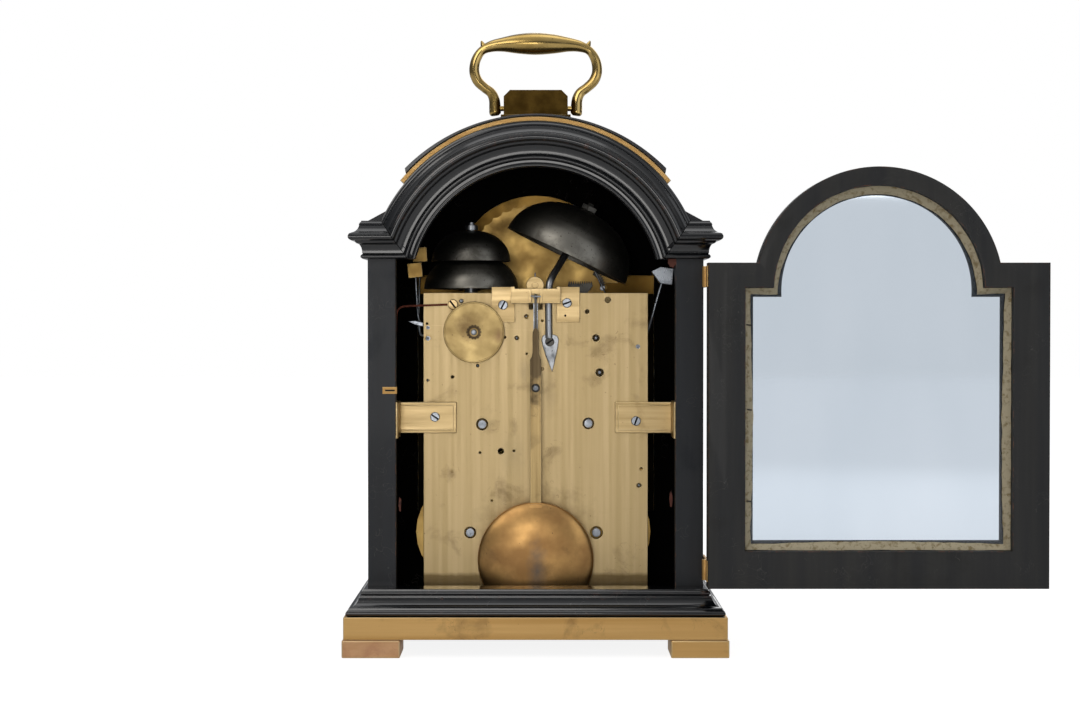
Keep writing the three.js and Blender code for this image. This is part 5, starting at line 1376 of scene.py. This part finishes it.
def numeralShapes(text, height):  # strokes of I, V and X, upright, centred on the origin
    widths = {'I': 2.1, 'V': 5.2, 'X': 5.2}
    total = sum(widths[letter] for letter in text)
    x, out = -total / 2, []
    h = height / 2

    def bar(x0, z0, x1, z1, half):
        return [(x0 - half, z0), (x0 + half, z0), (x1 + half, z1), (x1 - half, z1)]

    for letter in text:
        m, w = x + widths[letter] / 2, widths[letter] / 2 - 0.9
        if letter == 'I':
            out.append(bar(m, -h, m, h, 0.6))
        if letter == 'V':
            out += [bar(m, -h, m - w, h, 0.62), bar(m, -h, m + w, h, 0.3)]
        if letter == 'X':
            out += [bar(m + w, -h, m - w, h, 0.62), bar(m - w, -h, m + w, h, 0.3)]
        for end in (-h, h - 0.5):
            out.append(rect(m - w - 0.9, end, m + w + 0.9, end + 0.5))
        x += widths[letter]
    return out


def makeDial():
    s = dialSizes
    inner, outer, front, back = s['ring']
    centre, face = (0, 0, s['centre']), s['face']
    bevelNode('dial_plate', 'dialBrass', 0.3)
    profile = [(inner, back), (inner, front + 0.25), (inner + 0.25, front), (outer - 0.25, front),
               (outer, front + 0.25), (outer, back)]
    turnPiece('chapter_ring_fine', centre, profile, 'root', 'silvered', 'chapter_ring', steps=128)
    shapes = []
    for i, text in enumerate(numerals):
        turn = math.radians(30 * i)
        for stroke in numeralShapes(text, s['numeral'][1]):
            placed = []
            for x, z in stroke:
                r = s['numeral'][0] + z
                placed.append((x * math.cos(turn) + r * math.sin(turn),
                               s['centre'] + r * math.cos(turn) - x * math.sin(turn)))
            shapes.append(thickShape(placed, front + 0.1, front - 0.06))
    makePiece('chapter_numerals', *stackShapes(*shapes), 'root', 'blackWax', angle=20)
    spots = []
    for i in range(60):
        a = math.radians(6 * i)
        place = (s['marks'] * math.sin(a), front + 0.06, s['centre'] + s['marks'] * math.cos(a))
        spots.append((place, (0, 6 * i, 0), 1.35 if i % 5 == 0 else 0.85))
    setOut('minute_marks', 'minuteMark', spots, 'root', 'blackWax')
    for r in (s['marks'] - 2.2, s['marks'] + 1.9, s['quarters'] - 0.6):
        line = [(r, front - 0.06), (r + 0.28, front - 0.06), (r + 0.28, front + 0.2), (r, front + 0.2)]
        turnPiece('chapter_line_%d' % round(r), centre, line, 'root', 'blackWax', steps=128)
    matt = [(8, face + 0.5), (8, face - 0.22), (inner - 0.6, face - 0.22), (inner - 0.6, face + 0.5)]
    turnPiece('dial_centre', centre, matt, 'root', 'mattBrass', steps=96)
    for i, (x, z) in enumerate(s['winding']):
        ring = [(5.2, face + 0.3), (5.2, face - 0.5), (5.8, face - 0.8), (6.6, face - 0.8), (7.2, face - 0.4),
                (7.2, face + 0.3)]
        turnPiece('winding_ring_%d' % (i + 1), (x, 0, z), ring, 'root', 'giltBrass', steps=48)
        hole = [(0, face + 0.4), (5.2, face + 0.4), (5.2, face - 0.26), (0, face - 0.26)]
        turnPiece('winding_shade_%d' % (i + 1), (x, 0, z), hole, 'root', 'hole', steps=32)
        square = rect(x - 1.9, z - 1.9, x + 1.9, z + 1.9)
        cutShape('winding_square_%d' % (i + 1), [square], face - 1.6, face + 0.2,
                 'going_fusee' if i == 0 else 'strike_fusee', 'steel', bevel=0.2)
    inner, outer, front, back = s['archRing']
    ring = [(inner, back + 0.2), (inner, front), (outer, front), (outer, back + 0.2)]
    turnPiece('arch_ring', (0, 0, s['arch'] + s['archRise']), ring, 'root', 'silvered', steps=96)
    spots = []
    for i in range(31):
        a = math.radians(360 * i / 31)
        r = (inner + outer) / 2 + 2
        place = (r * math.sin(a), front + 0.06, s['arch'] + s['archRise'] + r * math.cos(a))
        spots.append((place, (0, 360 * i / 31, 0), 0.8))
    setOut('arch_marks', 'minuteMark', spots, 'root', 'blackWax')
    bevelNode('hour_hand', 'bluedSteel', 0.2, segments=2)
    bevelNode('minute_hand', 'bluedSteel', 0.2, segments=2)


makeDial()
print('dial: plate, chapter ring, marks and hands')

# ---- hinge leaves, strike, pins and small marks on the case ----

leafSizes = {'thick': 0.6, 'reach': (2.4, 13.6), 'gap': 0.06, 'screw': 1.5, 'sunk': 0.92}
smallMarks = {
    'strike': ((94.4, 163.2), (104.2, 167.9)), 'face': 56.0,
    'glassPins': [(-141.9, 210.2), (-142.2, 153.7), (-142.0, 92.5)], 'puttyFace': 85.4,
    'chips': [((-93.0, 253.4), 3.6, 5.0), ((92.4, 88.0), 1.2, 5.6), ((-92.2, 91.5), 1.3, 7.0)],
    'railJoint': 59.7, 'doorFace': 92.3,
}


def makeLeaves():  # one leaf of each hinge is let into the door's edge
    d, s = doorSizes, leafSizes
    for label, side in (('back', -1), ('front', 1)):
        edge = 2 * d['hinge'][0] + d['half'] if side < 0 else d['half']
        y0, y1 = [reach - side * d['hinge'][1] for reach in s['reach']]
        x0, x1 = edge + s['gap'], edge + s['gap'] + s['thick']
        for where in ('bottom', 'top'):
            low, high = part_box(label + '_hinge_' + where)
            z0, z1 = low[2] / mm, high[2] / mm
            name = label + '_leaf_' + where
            cutShape(name, [rect(x0, z0, x1, z1)], y0, y1, label + '_door', 'bandBrass', bevel=0.12)
            heights = [z0 + (z1 - z0) * share for share in (0.25, 0.75)]
            spots = [((x1 - s['sunk'], (y0 + y1) / 2, z), (0, 0, -90), s['screw']) for z in heights]
            setScrews(name + '_screws', spots, label + '_door', 'steel')


def makeMarks():
    s = smallMarks
    (x0, z0), (x1, z1) = s['strike']
    face, putty = s['face'], s['puttyFace']
    plate, hole = rect(x0, z0, x1, z1), rect(x0 + 1.4, z0 + 1.8, x1 - 1.8, z1 - 1.8)
    cutShape('lock_strike', [plate, hole], face - 0.5, face + 0.2, 'root', 'bandBrass', bevel=0.1)
    # painted shade: a dark block inside the strike's hole
    cutShape('lock_strike_hole', [hole], face - 0.4, face + 0.05, 'root', 'hole', bevel=0.04)
    for i, (x, z) in enumerate(s['glassPins']):
        route = [(x - 2.1, putty, z - 0.3), (x, putty + 0.2, z), (x + 2.1, putty, z + 0.2)]
        rodPiece('glass_pin_%d' % (i + 1), route, [0.5, 0.5, 0.4], 'back_door', 'darkSteel', sides=12,
                 steps=4)
    for i, ((x, z), wide, high) in enumerate(s['chips']):
        edge = []
        for k in range(18):
            a = 2 * math.pi * k / 18
            reach = 0.8 + 0.35 * noise.noise(Vector((x, z, k * 0.9)))
            edge.append((x + wide * reach * math.cos(a), z + high * reach * math.sin(a)))
        cutShape('worn_chip_%d' % (i + 1), [edge], face - 0.3, face + 0.08, 'root', 'chipWood', bevel=0.06)
    d = doorSizes
    for i, x in enumerate((d['half'] - d['stile'], -d['half'] + d['stile'])):
        place = 2 * d['hinge'][0] - x
        line = rect(place - 0.12, d['bottom'] + 0.8, place + 0.12, s['railJoint'] - 0.4)
        cutShape('rail_joint_%d' % (i + 1), [line], s['doorFace'] - 0.4, s['doorFace'] - 0.01, 'back_door',
                 'hole', bevel=0.03)


fretSizes = {  # a fish-scale fret over cloth in each side panel's recess; the sides aren't in the photo
    'wall': 114.2, 'recess': 3.0, 'half': 28.0, 'bottom': 88.0, 'spring': 180.0, 'cloth': 0.4, 'rim': 3.0,
    'pitch': 7.4, 'ring': 4.5,
}


def fretField(shrink):  # the recess's outline along the case and up, narrowed by a margin
    s = fretSizes
    half = s['half'] - shrink
    low = s['bottom'] + shrink
    return [(-half, low), (half, low), *arcOf(0, s['spring'], half, 0, 180, 32)]


def makeFrets():
    s = fretSizes
    wall = s['wall'] - s['recess']
    sideways = Matrix.Rotation(math.radians(-90), 4, 'Z')  # turns a drawing's X to run along the case
    for side, label in ((1, 'left'), (-1, 'right')):
        near = min(side * (wall + 0.05), side * (wall + 0.05 + s['cloth']))
        cutShape('fret_cloth_' + label, [fretField(0.4)], near, near + s['cloth'], 'root', 'oldCloth',
                 bevel=0.08, turn=sideways)
        ends = sorted((side * (wall + 0.5), side * (wall + 1.9)))
        cutShape('fret_border_' + label, [fretField(0.4), fretField(s['rim'])], *ends, 'root', 'giltBrass',
                 bevel=0.25, turn=sideways)
        spots = []
        for row in range(40):
            z = s['bottom'] + s['rim'] + row * s['pitch'] * 0.5
            for column in range(-5, 6):
                y = (column + 0.5 * (row % 2)) * s['pitch']
                reach = s['half'] - s['rim'] + 1.0 - s['ring']
                above = max(0.0, z - s['spring'])
                if abs(y) < reach and math.hypot(y, above) < reach and z > s['bottom'] + s['rim'] + 1.0:
                    spots.append(((side * (wall + 1.0), y, z), (0, 0, 90), s['ring']))
        setOut('fret_scales_' + label, 'fretRing', spots, 'root', 'giltBrass')


makeLeaves()
makeMarks()
makeFrets()
print('marks: hinge leaves, strike, pins and side frets')

# ---- CAD nodes whose shape is kept ----

keptNodes = {
    'shadedInsideEbony': ['bottom_board'],
    'ebonyUpright': ['side_panel_left', 'side_panel_right'],
    'ebonyLevel': ['plinth'],
    'trainBrass': ['centre_wheel', 'third_wheel', 'escape_wheel', 'going_fusee', 'strike_fusee', 'arch_disc',
                   'strike_barrel', 'going_barrel'],
    'steel': ['crutch'],
}


for name, nodes in keptNodes.items():
    for node in nodes:
        materials = frame['nodes'][node].data.materials
        materials.clear()
        materials.append(finishes[name][0])
